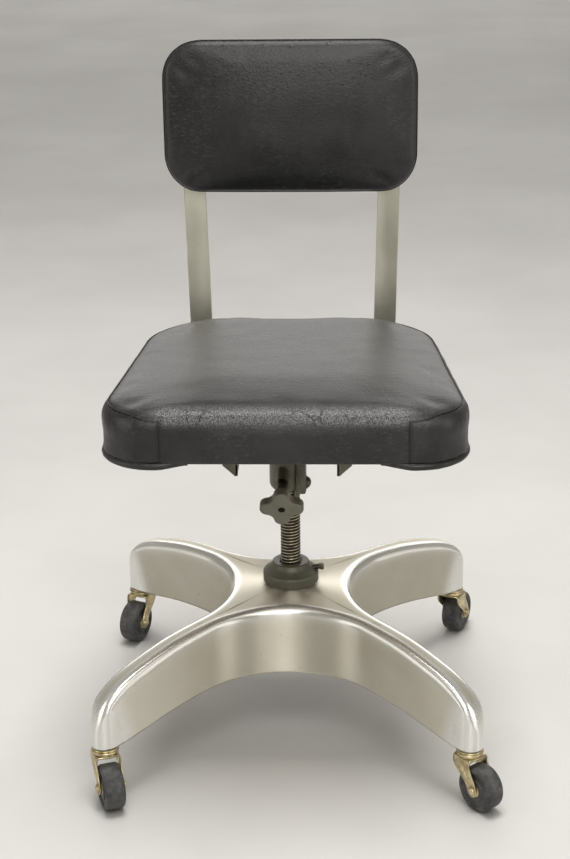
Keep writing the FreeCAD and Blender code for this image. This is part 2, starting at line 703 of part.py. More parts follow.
def pivot_sleeve(side):
    """Sleeve under the front end of a back bar, turning on the pivot shaft."""
    inner = HOUSING_HALF + FLANGE_W + 2
    sleeve = tube(SLEEVE_R, PIVOT_R + RUN_FIT, (inner, PIVOT_Y, PIVOT_Z), (PIVOT_HALF - 4, PIVOT_Y, PIVOT_Z))
    if side < 0:
        sleeve = sleeve.mirror(Vector(0, 0, 0), X)
    return sleeve.cut(back_bar(side))


def yoke_bar():
    """Cross bar that ties the two back bars together behind the control."""
    z = BAR_Z - 4.3
    return box(-BAR_X - BAR_W / 2 - 2, BAR_X + BAR_W / 2 + 2, 112, 140, z, z + 4)


def yoke_rivets():
    """Domed rivets through the back bars and the yoke bar."""
    rivets = []
    for side in (-1, 1):
        for offset in (-7, 7):
            centre = (side * BAR_X + offset, 126, BAR_Z)
            ball = Part.makeSphere(5.5, Vector(centre[0], centre[1], BAR_Z - 4.3 + 3.0))
            below = rod(6, (centre[0], 126, BAR_Z - 12), (centre[0], 126, BAR_Z - 4.3))
            rivets.append(ball.common(below))
    return Part.makeCompound(rivets)


# ---- backrest ------------------------------------------------------------------------------
def back_outline(inset):
    """Rounded rectangle of the backrest, in plan, ready to be stood up."""
    half = BACK_HALF_W - inset
    low = BACK_BOTTOM + inset
    high = BACK_TOP - inset
    corners = [(-half, low), (half, low), (half, high), (-half, high)]
    return rounded_outline(corners, [BACK_CORNER - inset] * 4, 0)


def stood_up(shape, y_back):
    """Turn a flat slab upright so that its base lies at y_back and it rises towards -Y."""
    shape.rotate(Vector(0, 0, 0), X, 90)
    shape.translate(Vector(0, y_back, 0))
    return shape


def back_cushion():
    """Backrest pad with a rounded front edge."""
    pad = slab(back_outline(0), PAN_FRONT - BACK_FRONT)
    front_rim = [e for e in pad.Edges if abs(e.BoundBox.ZMin - (PAN_FRONT - BACK_FRONT)) < 0.01]
    return stood_up(pad.makeFillet(10, front_rim), PAN_FRONT)


def back_pan():
    """Sheet steel panel behind the pad."""
    return stood_up(slab(back_outline(7), PAN_T), PAN_FRONT + PAN_T)


def hinge_brackets():
    """Two forked brackets on the back pan, one round each bar's eye."""
    brackets = []
    back = PAN_FRONT + PAN_T
    for side in (-1, 1):
        x0 = side * hinge_x()
        half = BAR_W / 2 + 0.6
        plate = box(x0 - half - 2, x0 + half + 2, back, back + 2, HINGE_Z - 22, HINGE_Z + 30)
        bracket = plate
        for edge in (-1, 1):
            inner = x0 + edge * half
            ear = box(min(inner, inner + edge * 2), max(inner, inner + edge * 2), back, HINGE_Y + 8,
                      HINGE_Z - 9, HINGE_Z + 9)
            bracket = bracket.fuse(ear)
        bracket = bracket.cut(rod(HINGE_PIN_R, (x0 - 40, HINGE_Y, HINGE_Z), (x0 + 40, HINGE_Y, HINGE_Z)))
        brackets.append(bracket.removeSplitter())
    return Part.makeCompound(brackets)


def hinge_pins():
    """Headed pins through the brackets and the bars' eyes."""
    pins = []
    for side in (-1, 1):
        x0 = side * hinge_x()
        reach = BAR_W / 2 + 2.6
        pin = rod(HINGE_PIN_R, (x0 - reach, HINGE_Y, HINGE_Z), (x0 + reach, HINGE_Y, HINGE_Z))
        for edge in (-1, 1):
            pin = pin.fuse(rod(5.5, (x0 + edge * reach, HINGE_Y, HINGE_Z),
                               (x0 + edge * (reach + 2.5), HINGE_Y, HINGE_Z)))
        pins.append(pin)
    return Part.makeCompound(pins)


# ---- seat ----------------------------------------------------------------------------------
def seat_outline(inset, z):
    """Plan of the seat: wider in front, with large round corners at the back."""
    corners = [(-SEAT_HALF_FRONT + inset, SEAT_FRONT + inset), (SEAT_HALF_FRONT - inset, SEAT_FRONT + inset),
               (SEAT_HALF_BACK - inset, SEAT_BACK - inset), (-SEAT_HALF_BACK + inset, SEAT_BACK - inset)]
    radii = [SEAT_R_FRONT - inset, SEAT_R_FRONT - inset, SEAT_R_BACK - inset, SEAT_R_BACK - inset]
    return rounded_outline(corners, radii, z)


def seat_board():
    """Plywood board under the cushion."""
    board = slab(seat_outline(12, BOARD_BOTTOM), BOARD_T)
    return board.cut(seat_bolts())


def seat_cushion():
    """Seat pad that wraps down round the board, with a groove where the welt is sewn on."""
    pad = slab(seat_outline(0, SEAT_BOTTOM), SEAT_TOP - SEAT_BOTTOM)
    top_rim = [e for e in pad.Edges if abs(e.BoundBox.ZMin - SEAT_TOP) < 0.01]
    pad = pad.makeFillet(SEAT_ROUND, top_rim)
    pad = pad.cut(slab(seat_outline(12, SEAT_BOTTOM - 1), BOARD_TOP - SEAT_BOTTOM + 1))
    return pad.cut(seat_welt())


def seat_welt():
    """Piping round the seat's lower edge, open across the front."""
    wire = seat_outline(1, WELT_Z)
    keep = []
    for edge in wire.Edges:
        middle = edge.valueAt((edge.FirstParameter + edge.LastParameter) / 2)
        front = middle.y < SEAT_FRONT + 2
        if front:
            for side in (-1, 1):
                far = side * (SEAT_HALF_FRONT - SEAT_R_FRONT - 5)
                start = min(edge.Vertexes, key=lambda v: abs(v.Point.x - far)).Point
                keep.append(Part.makeLine(start, Vector(side * WELT_END_X, start.y, WELT_Z)))
        else:
            keep.append(edge)
    path = Part.Wire(Part.__sortEdges__(keep))
    start = path.OrderedVertexes[0].Point
    tangent = path.OrderedEdges[0].tangentAt(path.OrderedEdges[0].FirstParameter)
    section = Part.Wire([Part.makeCircle(WELT_R, start, tangent)])
    return path.makePipeShell([section], True, False)


def main():
    save("base_casting", base_casting())
    save("stem_sockets", stem_sockets())
    save("socket_tube", socket_tube())
    save("lower_race", race(HUB_Z))
    for name, corner in CORNERS.items():
        makers = {"caster_stem": caster_stem, "caster_fork": caster_fork, "caster_axle": caster_axle,
                  "wheel_tyre": wheel_tyre, "wheel_hub": wheel_hub}
        for piece, make in makers.items():
            shape = make()
            shape.Placement = caster_place(*corner)
            save(piece + "_" + name, shape)
    save("guide_bush", guide_bush())
    save("hub_nut", hub_nut())
    save("hub_set_screw", set_screw())
    save("upper_race", race(upper_race_z()))
    save("thrust_balls", thrust_balls())
    save("spindle", spindle())
    save("control_housing", control_housing())
    save("clamp_bolt", clamp_bolt())
    save("lock_screw", lock_screw())
    save("tension_rod", tension_rod())
    save("tension_nut", tension_nut())
    save("tension_knob", tension_knob())
    save("side_plate_left", side_plate(-1))
    save("side_plate_right", side_plate(1))
    save("pivot_shaft", pivot_shaft())
    save("shaft_clips", shaft_clips())
    save("torsion_springs", torsion_springs())
    save("seat_bolts", seat_bolts())
    save("front_glides", front_glides())
    save("seat_board", seat_board())
    save("seat_cushion", seat_cushion())
    save("seat_welt", seat_welt())
    save("back_bar_left", back_bar(-1))
    save("back_bar_right", back_bar(1))
    save("pivot_sleeve_left", pivot_sleeve(-1))
    save("pivot_sleeve_right", pivot_sleeve(1))
    save("yoke_bar", yoke_bar())
    save("yoke_rivets", yoke_rivets())
    save("back_pan", back_pan())
    save("back_cushion", back_cushion())
    save("hinge_brackets", hinge_brackets())
    save("hinge_pins", hinge_pins())


main()
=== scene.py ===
"""Low swivel work chair: the looks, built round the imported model.

Metres, in the model's own frame: the origin is on the floor under the spindle, +Z is up and the
chair faces -Y.  Lengths that a maker would read are written in millimetres times MM.
"""
import json
import math

import bmesh
import bpy
from mathutils import Matrix, Vector, noise
from mathutils.bvhtree import BVHTree
from mathutils.kdtree import KDTree

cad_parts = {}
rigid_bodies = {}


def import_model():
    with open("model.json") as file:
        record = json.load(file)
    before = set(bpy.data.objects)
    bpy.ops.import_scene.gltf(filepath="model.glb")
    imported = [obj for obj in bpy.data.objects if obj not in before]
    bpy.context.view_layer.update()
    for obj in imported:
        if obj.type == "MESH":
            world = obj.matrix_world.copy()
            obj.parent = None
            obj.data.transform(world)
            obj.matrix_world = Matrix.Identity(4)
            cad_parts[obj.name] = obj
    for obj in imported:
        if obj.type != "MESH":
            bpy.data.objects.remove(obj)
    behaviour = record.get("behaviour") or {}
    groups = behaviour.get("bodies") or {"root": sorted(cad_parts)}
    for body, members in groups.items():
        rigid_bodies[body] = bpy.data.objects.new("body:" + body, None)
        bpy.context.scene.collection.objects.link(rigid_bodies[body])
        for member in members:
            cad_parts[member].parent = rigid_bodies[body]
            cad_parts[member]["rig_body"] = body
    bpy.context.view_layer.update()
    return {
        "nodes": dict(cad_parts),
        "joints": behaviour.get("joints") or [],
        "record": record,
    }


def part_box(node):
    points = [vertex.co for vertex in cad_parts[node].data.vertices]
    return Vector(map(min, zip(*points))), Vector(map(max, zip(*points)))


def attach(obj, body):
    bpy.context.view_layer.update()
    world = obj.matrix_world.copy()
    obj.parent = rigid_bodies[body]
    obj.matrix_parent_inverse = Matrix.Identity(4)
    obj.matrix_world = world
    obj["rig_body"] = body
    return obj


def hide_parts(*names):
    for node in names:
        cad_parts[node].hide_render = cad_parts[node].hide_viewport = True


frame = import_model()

MM = 0.001
UP = Vector((0, 0, 1))
JOINTS = {joint["name"]: joint for joint in frame["joints"]}
CORNERS = ("front_left", "front_right", "back_left", "back_right")


# ---- shader maths ----
class Value:
    """A shader socket that takes part in sums."""

    def __init__(self, paint, socket):
        self.paint = paint
        self.socket = socket

    def sum(self, operation, *others):
        sockets = dict(enumerate((self,) + others))
        return self.paint.add("Math", {"operation": operation}, sockets)

    def __add__(self, other):
        return self.sum("ADD", other)

    def __radd__(self, other):
        return self.sum("ADD", other)

    def __sub__(self, other):
        return self.sum("SUBTRACT", other)

    def __rsub__(self, other):
        return (self * -1.0) + other

    def __mul__(self, other):
        return self.sum("MULTIPLY", other)

    def __rmul__(self, other):
        return self.sum("MULTIPLY", other)


class Paint:
    """A material under construction: a Principled shader and what feeds it."""

    def __init__(self, name, metallic, roughness, **fixed):
        self.material = bpy.data.materials.new(name)
        self.material.use_nodes = True
        self.tree = self.material.node_tree
        self.shader = self.tree.nodes["Principled BSDF"]
        self.feed("Metallic", metallic)
        self.feed("Roughness", roughness)
        for socket, value in fixed.items():
            self.feed(socket.replace("_", " "), value)
        self.place = self.add("TexCoord", output="Object")
        self.relief = None

    def add(self, kind, settings=None, sockets=None, output=0):
        """Any node: its settings first, then the values or links of its sockets."""
        node = self.tree.nodes.new("ShaderNode" + kind)
        for key, value in (settings or {}).items():
            setattr(node, key, value)
        for key, value in (sockets or {}).items():
            self.join(node.inputs[key], value)
        return Value(self, node.outputs[output])

    def join(self, socket, value):
        if isinstance(value, Value):
            self.tree.links.new(value.socket, socket)
        else:
            socket.default_value = value

    def feed(self, socket, value):
        self.join(self.shader.inputs[socket], value)

    def stretched(self, x, y, z):
        """Object coordinates, with each axis scaled."""
        return self.add("Mapping", sockets={"Vector": self.place, "Scale": (x, y, z)})

    def grain(self, scale, detail=3.0, rough=0.5, vector=None):
        """Cloudy noise from 0 to 1, scale in features per metre."""
        sockets = {"Vector": vector or self.place, "Scale": scale, "Detail": detail, "Roughness": rough}
        return self.add("TexNoise", sockets=sockets)

    def cells(self, scale, feature="F1"):
        """Distance to the nearest cell centre, or to the nearest cell edge."""
        sockets = {"Vector": self.place, "Scale": scale}
        return self.add("TexVoronoi", {"feature": feature}, sockets, output="Distance")

    def ramp(self, value, low, high, to_low=0.0, to_high=1.0):
        """Smooth step of a value between two limits."""
        settings = {"interpolation_type": "SMOOTHSTEP"}
        sockets = {0: value, 1: low, 2: high, 3: to_low, 4: to_high}
        return self.add("MapRange", settings, sockets)

    def blend(self, factor, first, second):
        """Colour mixed from first to second."""
        sockets = {0: factor, 6: first, 7: second}
        return self.add("Mix", {"data_type": "RGBA"}, sockets, output=2)

    def attribute(self, name):
        """A number stored on the piece's vertices."""
        return self.add("Attribute", {"attribute_name": name}, output="Fac")

    def bump(self, height, distance, strength=1.0):
        """Raise the surface by height times distance, on top of earlier relief."""
        sockets = {"Height": height, "Distance": distance, "Strength": strength}
        if self.relief:
            sockets["Normal"] = self.relief
        self.relief = self.add("Bump", sockets=sockets)
        self.feed("Normal", self.relief)


def colour(red, green, blue):
    return (red, green, blue, 1.0)


# ---- finishes ----
def cast_aluminium():
    """Satin cast star: grain brushed along the legs, edges buffed bright."""
    paint = Paint("cast_aluminium", 0.85, 0.4, Anisotropic=0.95, Anisotropic_Rotation=0.25)
    polish = paint.attribute("polish")
    lines = paint.grain(1.0, 4.0, 0.6, paint.stretched(9.0, 9.0, 900.0))
    fine = paint.grain(1.0, 2.0, 0.5, paint.stretched(40.0, 40.0, 2600.0))
    cloud = paint.grain(9.0, 4.0, 0.6)
    pits = paint.ramp(paint.cells(70.0), 0.05, 0.12, 1.0, 0.0) * paint.ramp(paint.grain(30.0), 0.55, 0.7)
    satin = paint.blend(paint.ramp(cloud, 0.3, 0.7), colour(0.64, 0.60, 0.49), colour(0.74, 0.705, 0.605))
    body = paint.blend(lines * 0.35, satin, colour(0.80, 0.78, 0.70))
    worn = paint.blend(polish * 0.9, body, colour(0.86, 0.86, 0.84))
    paint.feed("Base Color", paint.blend(pits * 0.7, worn, colour(0.16, 0.14, 0.11)))
    rough = 0.40 + cloud * 0.08 + lines * 0.06
    paint.feed("Roughness", rough - polish * (rough - 0.23))
    paint.bump(lines * (1.0 - polish), 0.05 * MM, 0.5)
    paint.bump(fine * (1.0 - polish), 0.02 * MM, 0.4)
    paint.bump(pits * -1.0, 0.3 * MM, 0.6)
    return paint.material


def bar_aluminium():
    """Flat bars, satin with a fine lengthwise grain."""
    paint = Paint("bar_aluminium", 1.0, 0.42)
    lines = paint.grain(1.0, 3.0, 0.6, paint.stretched(1500.0, 1500.0, 14.0))
    cloud = paint.grain(14.0, 4.0, 0.6)
    tint = paint.blend(paint.ramp(cloud, 0.3, 0.7), colour(0.60, 0.58, 0.47), colour(0.72, 0.70, 0.59))
    paint.feed("Base Color", paint.blend(lines * 0.4, tint, colour(0.80, 0.78, 0.68)))
    paint.feed("Roughness", 0.36 + cloud * 0.14)
    paint.bump(lines, 0.04 * MM, 0.5)
    return paint.material


def enamel(name, light, dark, chip_size, gloss):
    """Sprayed enamel: orange peel, chips down to dull steel, dust in patches."""
    paint = Paint(name, 0.0, gloss)
    peel = paint.grain(420.0, 2.0)
    cloud = paint.grain(28.0, 5.0, 0.65)
    chips = paint.ramp(paint.grain(chip_size, 6.0, 0.7), 0.68, 0.72)
    tint = paint.blend(paint.ramp(cloud, 0.3, 0.7), colour(*dark), colour(*light))
    paint.feed("Base Color", paint.blend(chips, tint, colour(0.09, 0.075, 0.055)))
    paint.feed("Roughness", gloss + cloud * 0.16 + chips * 0.25)
    paint.feed("Metallic", chips * 0.6)
    paint.bump(peel, 0.05 * MM, 0.35)
    paint.bump(chips * -1.0, 0.15 * MM, 0.8)
    return paint.material


def metal(name, light, dark, gloss, cloud_scale, stain=0.0):
    """Bare or plated metal with fine machining marks and clouded tarnish."""
    paint = Paint(name, 1.0, gloss)
    cloud = paint.grain(cloud_scale, 5.0, 0.65)
    marks = paint.grain(900.0, 2.0)
    spots = paint.ramp(paint.grain(cloud_scale * 5.0, 4.0, 0.7), 0.60, 0.70)
    tint = paint.blend(paint.ramp(cloud, 0.35, 0.65), colour(*dark), colour(*light))
    paint.feed("Base Color", paint.blend(spots * stain, tint, colour(0.07, 0.05, 0.03)))
    paint.feed("Roughness", gloss + cloud * 0.15 + spots * stain * 0.3)
    paint.bump(marks, 0.03 * MM, 0.4)
    return paint.material


def dark_steel():
    """Oiled screw: black in the roots, with a painted highlight on the thread crests."""
    paint = Paint("dark_steel", 1.0, 0.35)
    across = paint.add("SeparateXYZ", sockets={0: paint.place})
    x = Value(paint, across.socket.node.outputs[0])
    y = Value(paint, across.socket.node.outputs[1])
    radius = (x * x + y * y).sum("SQRT")
    cloud = paint.grain(120.0, 4.0, 0.6)
    # Lighter, glossier colour on the thread crests all round: a painted highlight.
    crest = paint.ramp(radius, 12.55 * MM, 12.95 * MM) * paint.ramp(cloud, 0.30, 0.55)
    tint = paint.blend(cloud, colour(0.050, 0.043, 0.030), colour(0.115, 0.100, 0.070))
    paint.feed("Base Color", paint.blend(crest, tint, colour(0.52, 0.48, 0.36)))
    paint.feed("Roughness", 0.45 - crest * 0.17)
    paint.bump(cloud, 0.06 * MM, 0.5)
    return paint.material


def wheel_rubber():
    """Hard black rubber, greyed with floor dust."""
    paint = Paint("wheel_rubber", 0.0, 0.55)
    cloud = paint.grain(70.0, 6.0, 0.7)
    scuffs = paint.ramp(paint.grain(300.0, 3.0, 0.6), 0.55, 0.75)
    clean, dusty = colour(0.032, 0.032, 0.034), colour(0.13, 0.128, 0.124)
    tint = paint.blend(paint.ramp(cloud, 0.35, 0.75), clean, dusty)
    paint.feed("Base Color", paint.blend(scuffs * 0.4, tint, colour(0.17, 0.165, 0.155)))
    paint.feed("Roughness", 0.42 + cloud * 0.3)
    paint.bump(paint.grain(500.0, 3.0), 0.15 * MM, 0.5)
    return paint.material


def plywood():
    """Raw ply under the seat."""
    paint = Paint("plywood", 0.0, 0.7)
    rings = paint.grain(1.0, 5.0, 0.6, paint.stretched(60.0, 6.0, 60.0))
    fibre = paint.grain(1.0, 3.0, 0.6, paint.stretched(900.0, 30.0, 900.0))
    tint = paint.blend(paint.ramp(rings, 0.35, 0.65), colour(0.30, 0.19, 0.10), colour(0.47, 0.33, 0.19))
    paint.feed("Base Color", paint.blend(fibre * 0.5, tint, colour(0.22, 0.14, 0.07)))
    paint.feed("Roughness", 0.62 + fibre * 0.2)
    paint.bump(fibre, 0.1 * MM, 0.5)
    return paint.material


def black_vinyl():
    """Charcoal vinyl: leathery grain, soft sheen, a painted highlight with real cracks on the front edge,
    painted shade along the seams, scuffs and pinholes.
    """
    paint = Paint("black_vinyl", 0.0, 0.4)
    pebble = paint.cells(420.0, "SMOOTH_F1")
    weave = paint.grain(700.0, 3.0)
    creases = paint.grain(1.0, 4.0, 0.6, paint.stretched(70.0, 200.0, 260.0))
    wear = paint.grain(9.0, 6.0, 0.72)
    # This weight marks the seat's front top edge, where it places a painted highlight and the real cracks.
    highlight_and_cracks = paint.attribute("highlight_and_cracks")
    cracks = paint.ramp(paint.cells(38.0, "DISTANCE_TO_EDGE"), 0.010, 0.04, 0.6, 0.0)
    cracks = cracks * paint.ramp(paint.grain(25.0), 0.42, 0.55) * highlight_and_cracks
    strokes = paint.ramp(paint.grain(1.0, 5.0, 0.7, paint.stretched(150.0, 200.0, 330.0)), 0.50, 0.70)
    scuffs = strokes * paint.ramp(paint.grain(14.0, 3.0), 0.46, 0.62)
    pinholes = paint.ramp(paint.cells(105.0), 0.10, 0.17, 0.8, 0.0) * paint.attribute("pinholes")
    # Nearness to a seam: used below to darken the colour as painted shade in the seam's groove.
    seam = paint.attribute("seam")
    black, charcoal = colour(0.007, 0.007, 0.0075), colour(0.030, 0.030, 0.031)
    hollow = colour(0.003, 0.003, 0.003)
    tint = paint.blend(paint.ramp(wear, 0.3, 0.7), black, charcoal)
    rubbed = paint.blend(scuffs * 0.45, tint, colour(0.10, 0.10, 0.105))
    # Lighter colour along the front top edge: a painted highlight.
    with_painted_highlight = paint.blend(highlight_and_cracks * paint.ramp(weave, 0.42, 0.62), rubbed, colour(0.16, 0.163, 0.167))
    paint.feed("Base Color", paint.blend(pinholes + cracks + seam * 0.5, with_painted_highlight, hollow))
    paint.feed("Roughness", 0.27 + wear * 0.16 + pebble * 0.10 + scuffs * 0.12)
    paint.bump(pebble + weave * 0.6, 0.32 * MM, 0.7)
    paint.bump(creases, 0.5 * MM, 0.5)
    paint.bump((pinholes + cracks) * -1.0, 0.6 * MM, 0.8)
    return paint.material


def shaded_seam_vinyl():
    """Folded edge of the cover along a seam, rougher than the cover and painted darker as shade in the seam
    line.
    """
    paint = Paint("shaded_seam_vinyl", 0.0, 0.5)
    cloud = paint.grain(160.0, 4.0)
    # A darker colour than the cover: painted shade of the seam line.
    paint.feed("Base Color", paint.blend(cloud, colour(0.006, 0.006, 0.006), colour(0.022, 0.022, 0.022)))
    paint.feed("Roughness", 0.4 + cloud * 0.2)
    return paint.material


FINISHES = {
    "cast_aluminium": cast_aluminium(),
    "bar_aluminium": bar_aluminium(),
    "green_grey_paint": enamel("green_grey_paint", (0.165, 0.16, 0.115), (0.1, 0.096, 0.066), 60.0, 0.33),
    "knob_paint": enamel("knob_paint", (0.225, 0.222, 0.168), (0.160, 0.158, 0.118), 85.0, 0.36),
    "plated_steel": metal("plated_steel", (0.72, 0.63, 0.40), (0.42, 0.35, 0.20), 0.24, 90.0, 0.8),
    "bearing_steel": metal("bearing_steel", (0.50, 0.49, 0.46), (0.30, 0.29, 0.26), 0.30, 60.0, 0.4),
    "bush_bronze": metal("bush_bronze", (0.55, 0.40, 0.21), (0.38, 0.26, 0.13), 0.32, 60.0, 0.3),
    "dark_steel": dark_steel(),
    "dark_steel.plain": metal("dark_fastener", (0.16, 0.145, 0.11), (0.05, 0.045, 0.035), 0.34, 80.0, 0.5),
    # Near-black finish for the disc on the knob's face: painted shade standing for the hole.
    "knob_paint.bore": metal("painted_hole_shade", (0.03, 0.025, 0.02), (0.012, 0.010, 0.008), 0.6, 200.0),
    "wheel_rubber": wheel_rubber(),
    "plywood": plywood(),
    "black_vinyl": black_vinyl(),
    "black_vinyl.seam": shaded_seam_vinyl(),
}


# ---- mesh helpers ----
def placed(name, data):
    """New object in the scene."""
    made = bpy.data.objects.new(name, data)
    bpy.context.scene.collection.objects.link(made)
    return made


def piece(name, bm, finish, *nodes, body=None, crease=38.0, closed=True):
    """Turn a bmesh into a finished piece that stands for CAD nodes and rides with their body."""
    bmesh.ops.remove_doubles(bm, verts=bm.verts, dist=0.002 * MM)
    if closed:
        bmesh.ops.recalc_face_normals(bm, faces=bm.faces)
    for face in bm.faces:
        face.smooth = True
    for edge in bm.edges:
        edge.smooth = edge.calc_face_angle(0.0) < math.radians(crease)
    mesh = bpy.data.meshes.new(name)
    bm.to_mesh(mesh)
    bm.free()
    mesh.materials.append(FINISHES[finish])
    made = placed(name, mesh)
    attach(made, body or frame["nodes"][nodes[0]]["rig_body"])
    if nodes:
        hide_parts(*nodes)
    return made


def joined(*parts):
    """One bmesh from several."""
    whole = bmesh.new()
    for part in parts:
        carrier = bpy.data.meshes.new("carrier")
        part.to_mesh(carrier)
        part.free()
        whole.from_mesh(carrier)
        bpy.data.meshes.remove(carrier)
    return whole


def eased(bm, width, segments=2, angle=35.0):
    """Bevel the edges that are sharper than an angle."""
    sharp = [e for e in bm.edges if e.calc_face_angle(0.0) > math.radians(angle)]
    bmesh.ops.bevel(bm, geom=sharp, offset=width, offset_type="OFFSET", segments=segments, profile=0.5,
                    affect="EDGES", material=-1, clamp_overlap=True)
    return bm


def turned(profile, place=Matrix(), steps=64, closed=False):
    """Spin (radius, height) points in millimetres about Z and put the result in place."""
    bm = bmesh.new()
    points = [bm.verts.new((radius * MM, 0, height * MM)) for radius, height in profile]
    pairs = list(zip(points, points[1:])) + ([(points[-1], points[0])] if closed else [])
    edges = [bm.edges.new(pair) for pair in pairs]
    bmesh.ops.spin(bm, geom=points + edges, cent=(0, 0, 0), axis=UP, angle=2 * math.pi, steps=steps,
                   use_merge=True, use_duplicate=False)
    bmesh.ops.remove_doubles(bm, verts=bm.verts, dist=0.002 * MM)
    bmesh.ops.recalc_face_normals(bm, faces=bm.faces)
    bm.transform(place)
    return bm


def along(point, axis):
    """Placement that puts the local Z axis along a direction at a point."""
    return Matrix.Translation(point) @ UP.rotation_difference(Vector(axis)).to_matrix().to_4x4()


def prism(outline, low, high, place=Matrix()):
    """Block on an outline of (x, y) corners, all in millimetres."""
    bm = bmesh.new()
    face = bm.faces.new([bm.verts.new((x * MM, y * MM, low * MM)) for x, y in outline])
    top = bmesh.ops.extrude_face_region(bm, geom=[face])["geom"]
    lifted = [item for item in top if isinstance(item, bmesh.types.BMVert)]
    bmesh.ops.translate(bm, verts=lifted, vec=(0, 0, (high - low) * MM))
    bmesh.ops.recalc_face_normals(bm, faces=bm.faces)
    bm.transform(place)
    return bm


def block(x, y, z, ease=0.0):
    """Block between (low, high) pairs in millimetres, edges eased."""
    bm = prism([(x[0], y[0]), (x[1], y[0]), (x[1], y[1]), (x[0], y[1])], z[0], z[1])
    return eased(bm, ease * MM) if ease else bm


def arc(centre, radius, start, end, steps):
    """Points on an arc, angles in degrees."""
    points = []
    for i in range(steps + 1):
        angle = math.radians(start + (end - start) * i / steps)
        points.append((centre[0] + radius * math.cos(angle), centre[1] + radius * math.sin(angle)))
    return points


def rounded(corners, radii, steps=12):
    """Outline through anticlockwise corners, each one rounded to its own radius."""
    outline = []
    count = len(corners)
    for i in range(count):
        here = Vector(corners[i])
        before = (Vector(corners[i - 1]) - here).normalized()
        after = (Vector(corners[(i + 1) % count]) - here).normalized()
        half = before.angle(after) / 2
        centre = here + (before + after).normalized() * (radii[i] / math.sin(half))
        first = here + before * (radii[i] / math.tan(half)) - centre
        start = math.degrees(math.atan2(first.y, first.x))
        outline += arc(centre, radii[i], start, start + 180.0 - math.degrees(2 * half), steps)
    return outline


def moulded(columns, rows, shape, weights=None):
    """Grid of vertices, each one put where shape(column, row) says; weights is (name, function)."""
    bm = bmesh.new()
    bmesh.ops.create_grid(bm, x_segments=columns, y_segments=rows, size=1.0)
    layer = bm.verts.layers.float.new(weights[0]) if weights else None
    for vertex in bm.verts:
        column = round((vertex.co.x + 1) / 2 * columns)
        row = round((vertex.co.y + 1) / 2 * rows)
        if weights:
            vertex[layer] = weights[1](column, row)
        vertex.co = shape(column, row)
    return bm


def facing(bm, direction):
    """Turn an open skin so that the face furthest along a direction looks that way."""
    direction = Vector(direction)
    bm.normal_update()
    bmesh.ops.recalc_face_normals(bm, faces=bm.faces)
    far = max(bm.faces, key=lambda face: face.calc_center_median().dot(direction))
    if far.normal.dot(direction) < 0:
        bmesh.ops.reverse_faces(bm, faces=bm.faces)
    return bm


def thickened(made, thickness):
    shell = made.modifiers.new("wall", "SOLIDIFY")
    shell.thickness = thickness * MM
    shell.offset = -1
    return made


def swept(points, radius, closed=False, resolution=4):
    """Round bar through points, as a bmesh; points and radius in metres."""
    curve = bpy.data.curves.new("path", "CURVE")
    curve.dimensions = "3D"
    curve.bevel_depth = radius
    curve.bevel_resolution = resolution
    curve.use_fill_caps = True
    spline = curve.splines.new("POLY")
    spline.points.add(len(points) - 1)
    for target, point in zip(spline.points, points):
        target.co = (*point, 1.0)
    spline.use_cyclic_u = closed
    holder = bpy.data.objects.new("path", curve)
    mesh = bpy.data.meshes.new_from_object(holder)
    bm = bmesh.new()
    bm.from_mesh(mesh)
    bpy.data.objects.remove(holder)
    bpy.data.curves.remove(curve)
    bpy.data.meshes.remove(mesh)
    return bm


def smooth_step(value, low, high):
    share = min(1.0, max(0.0, (value - low) / (high - low)))
    return share * share * (3 - 2 * share)


# ---- star base ----
STEM = 223.0 * math.sqrt(2)
HALF_LEG = 16.0
SWEEP = 134.5
ROOT = HALF_LEG + SWEEP
TOP_ROUND = 10.0
HUB_HOLE = 22.0
CAST_WALL = 4.5


def half_star():
    """Plan outline from one foot's tip to the next foot's tip; the legs lie along +X and +Y."""
    points = arc((STEM, 0), HALF_LEG, 0, 90, 9)
    points += [(STEM + (ROOT - STEM) * i / 26, HALF_LEG) for i in range(1, 26)]
    points += arc((ROOT, ROOT), SWEEP, 270, 180, 40)
    points += [(HALF_LEG, ROOT + (STEM - ROOT) * i / 26) for i in range(1, 26)]
    return points + arc((0, STEM), HALF_LEG, 0, 90, 9)


def drawn_in(x, y, inset):
    """Point of the plan outline moved square inwards."""
    if x > STEM or y > STEM:
        centre = Vector((STEM, 0)) if x > y else Vector((0, STEM))
        return centre + (Vector((x, y)) - centre) * (1 - inset / HALF_LEG)
    if x > ROOT:
        return Vector((x, y - inset))
    if y > ROOT:
        return Vector((x - inset, y))
    centre = Vector((ROOT, ROOT))
    return centre + (Vector((x, y)) - centre) * (1 + inset / SWEEP)


TOP_LINE = ((-50, 191.0), (0, 191.0), (50, 191.0), (95, 187.5), (150, 185.0), (200, 180.0), (235, 173.0),
            (262, 166.0), (290, 158.7))
SKIRT_LINE = ((-120, 98.0), (0, 98.0), (120, 98.0), (170, 97.0), (216, 92.0), (262, 83.5), (290, 78.0),
              (308, 76.0), (400, 76.0), (500, 76.0))


def through(points, place):
    """Height of a smooth line through (place, height) points."""
    for i in range(1, len(points) - 2):
        (x0, y0), (x1, y1), (x2, y2), (x3, y3) = points[i - 1:i + 3]
        if place <= x2 or i == len(points) - 3:
            span = x2 - x1
            t = (place - x1) / span
            first = (y2 - y0) / (x2 - x0) * span
            last = (y3 - y1) / (x3 - x1) * span
            return ((2 * t ** 3 - 3 * t ** 2 + 1) * y1 + (t ** 3 - 2 * t ** 2 + t) * first
                    + (3 * t ** 2 - 2 * t ** 3) * y2 + (t ** 3 - t ** 2) * last)


def crown(radius):
    """Height of the top face at a distance from the hub's axis."""
    nose, tip, foot = 262.0, 332.0, 98.0
    if radius <= nose:
        return through(TOP_LINE, radius)
    share = min(1.0, (radius - nose) / (tip - nose))
    level = 166.0 - 0.26 * (radius - nose) * (1 - share)
    return foot + (level - foot) * math.sqrt(1 - share * share)


def skirt(radius):
    """Height of the lower edge at a distance from the hub's axis."""
    return through(SKIRT_LINE, radius)


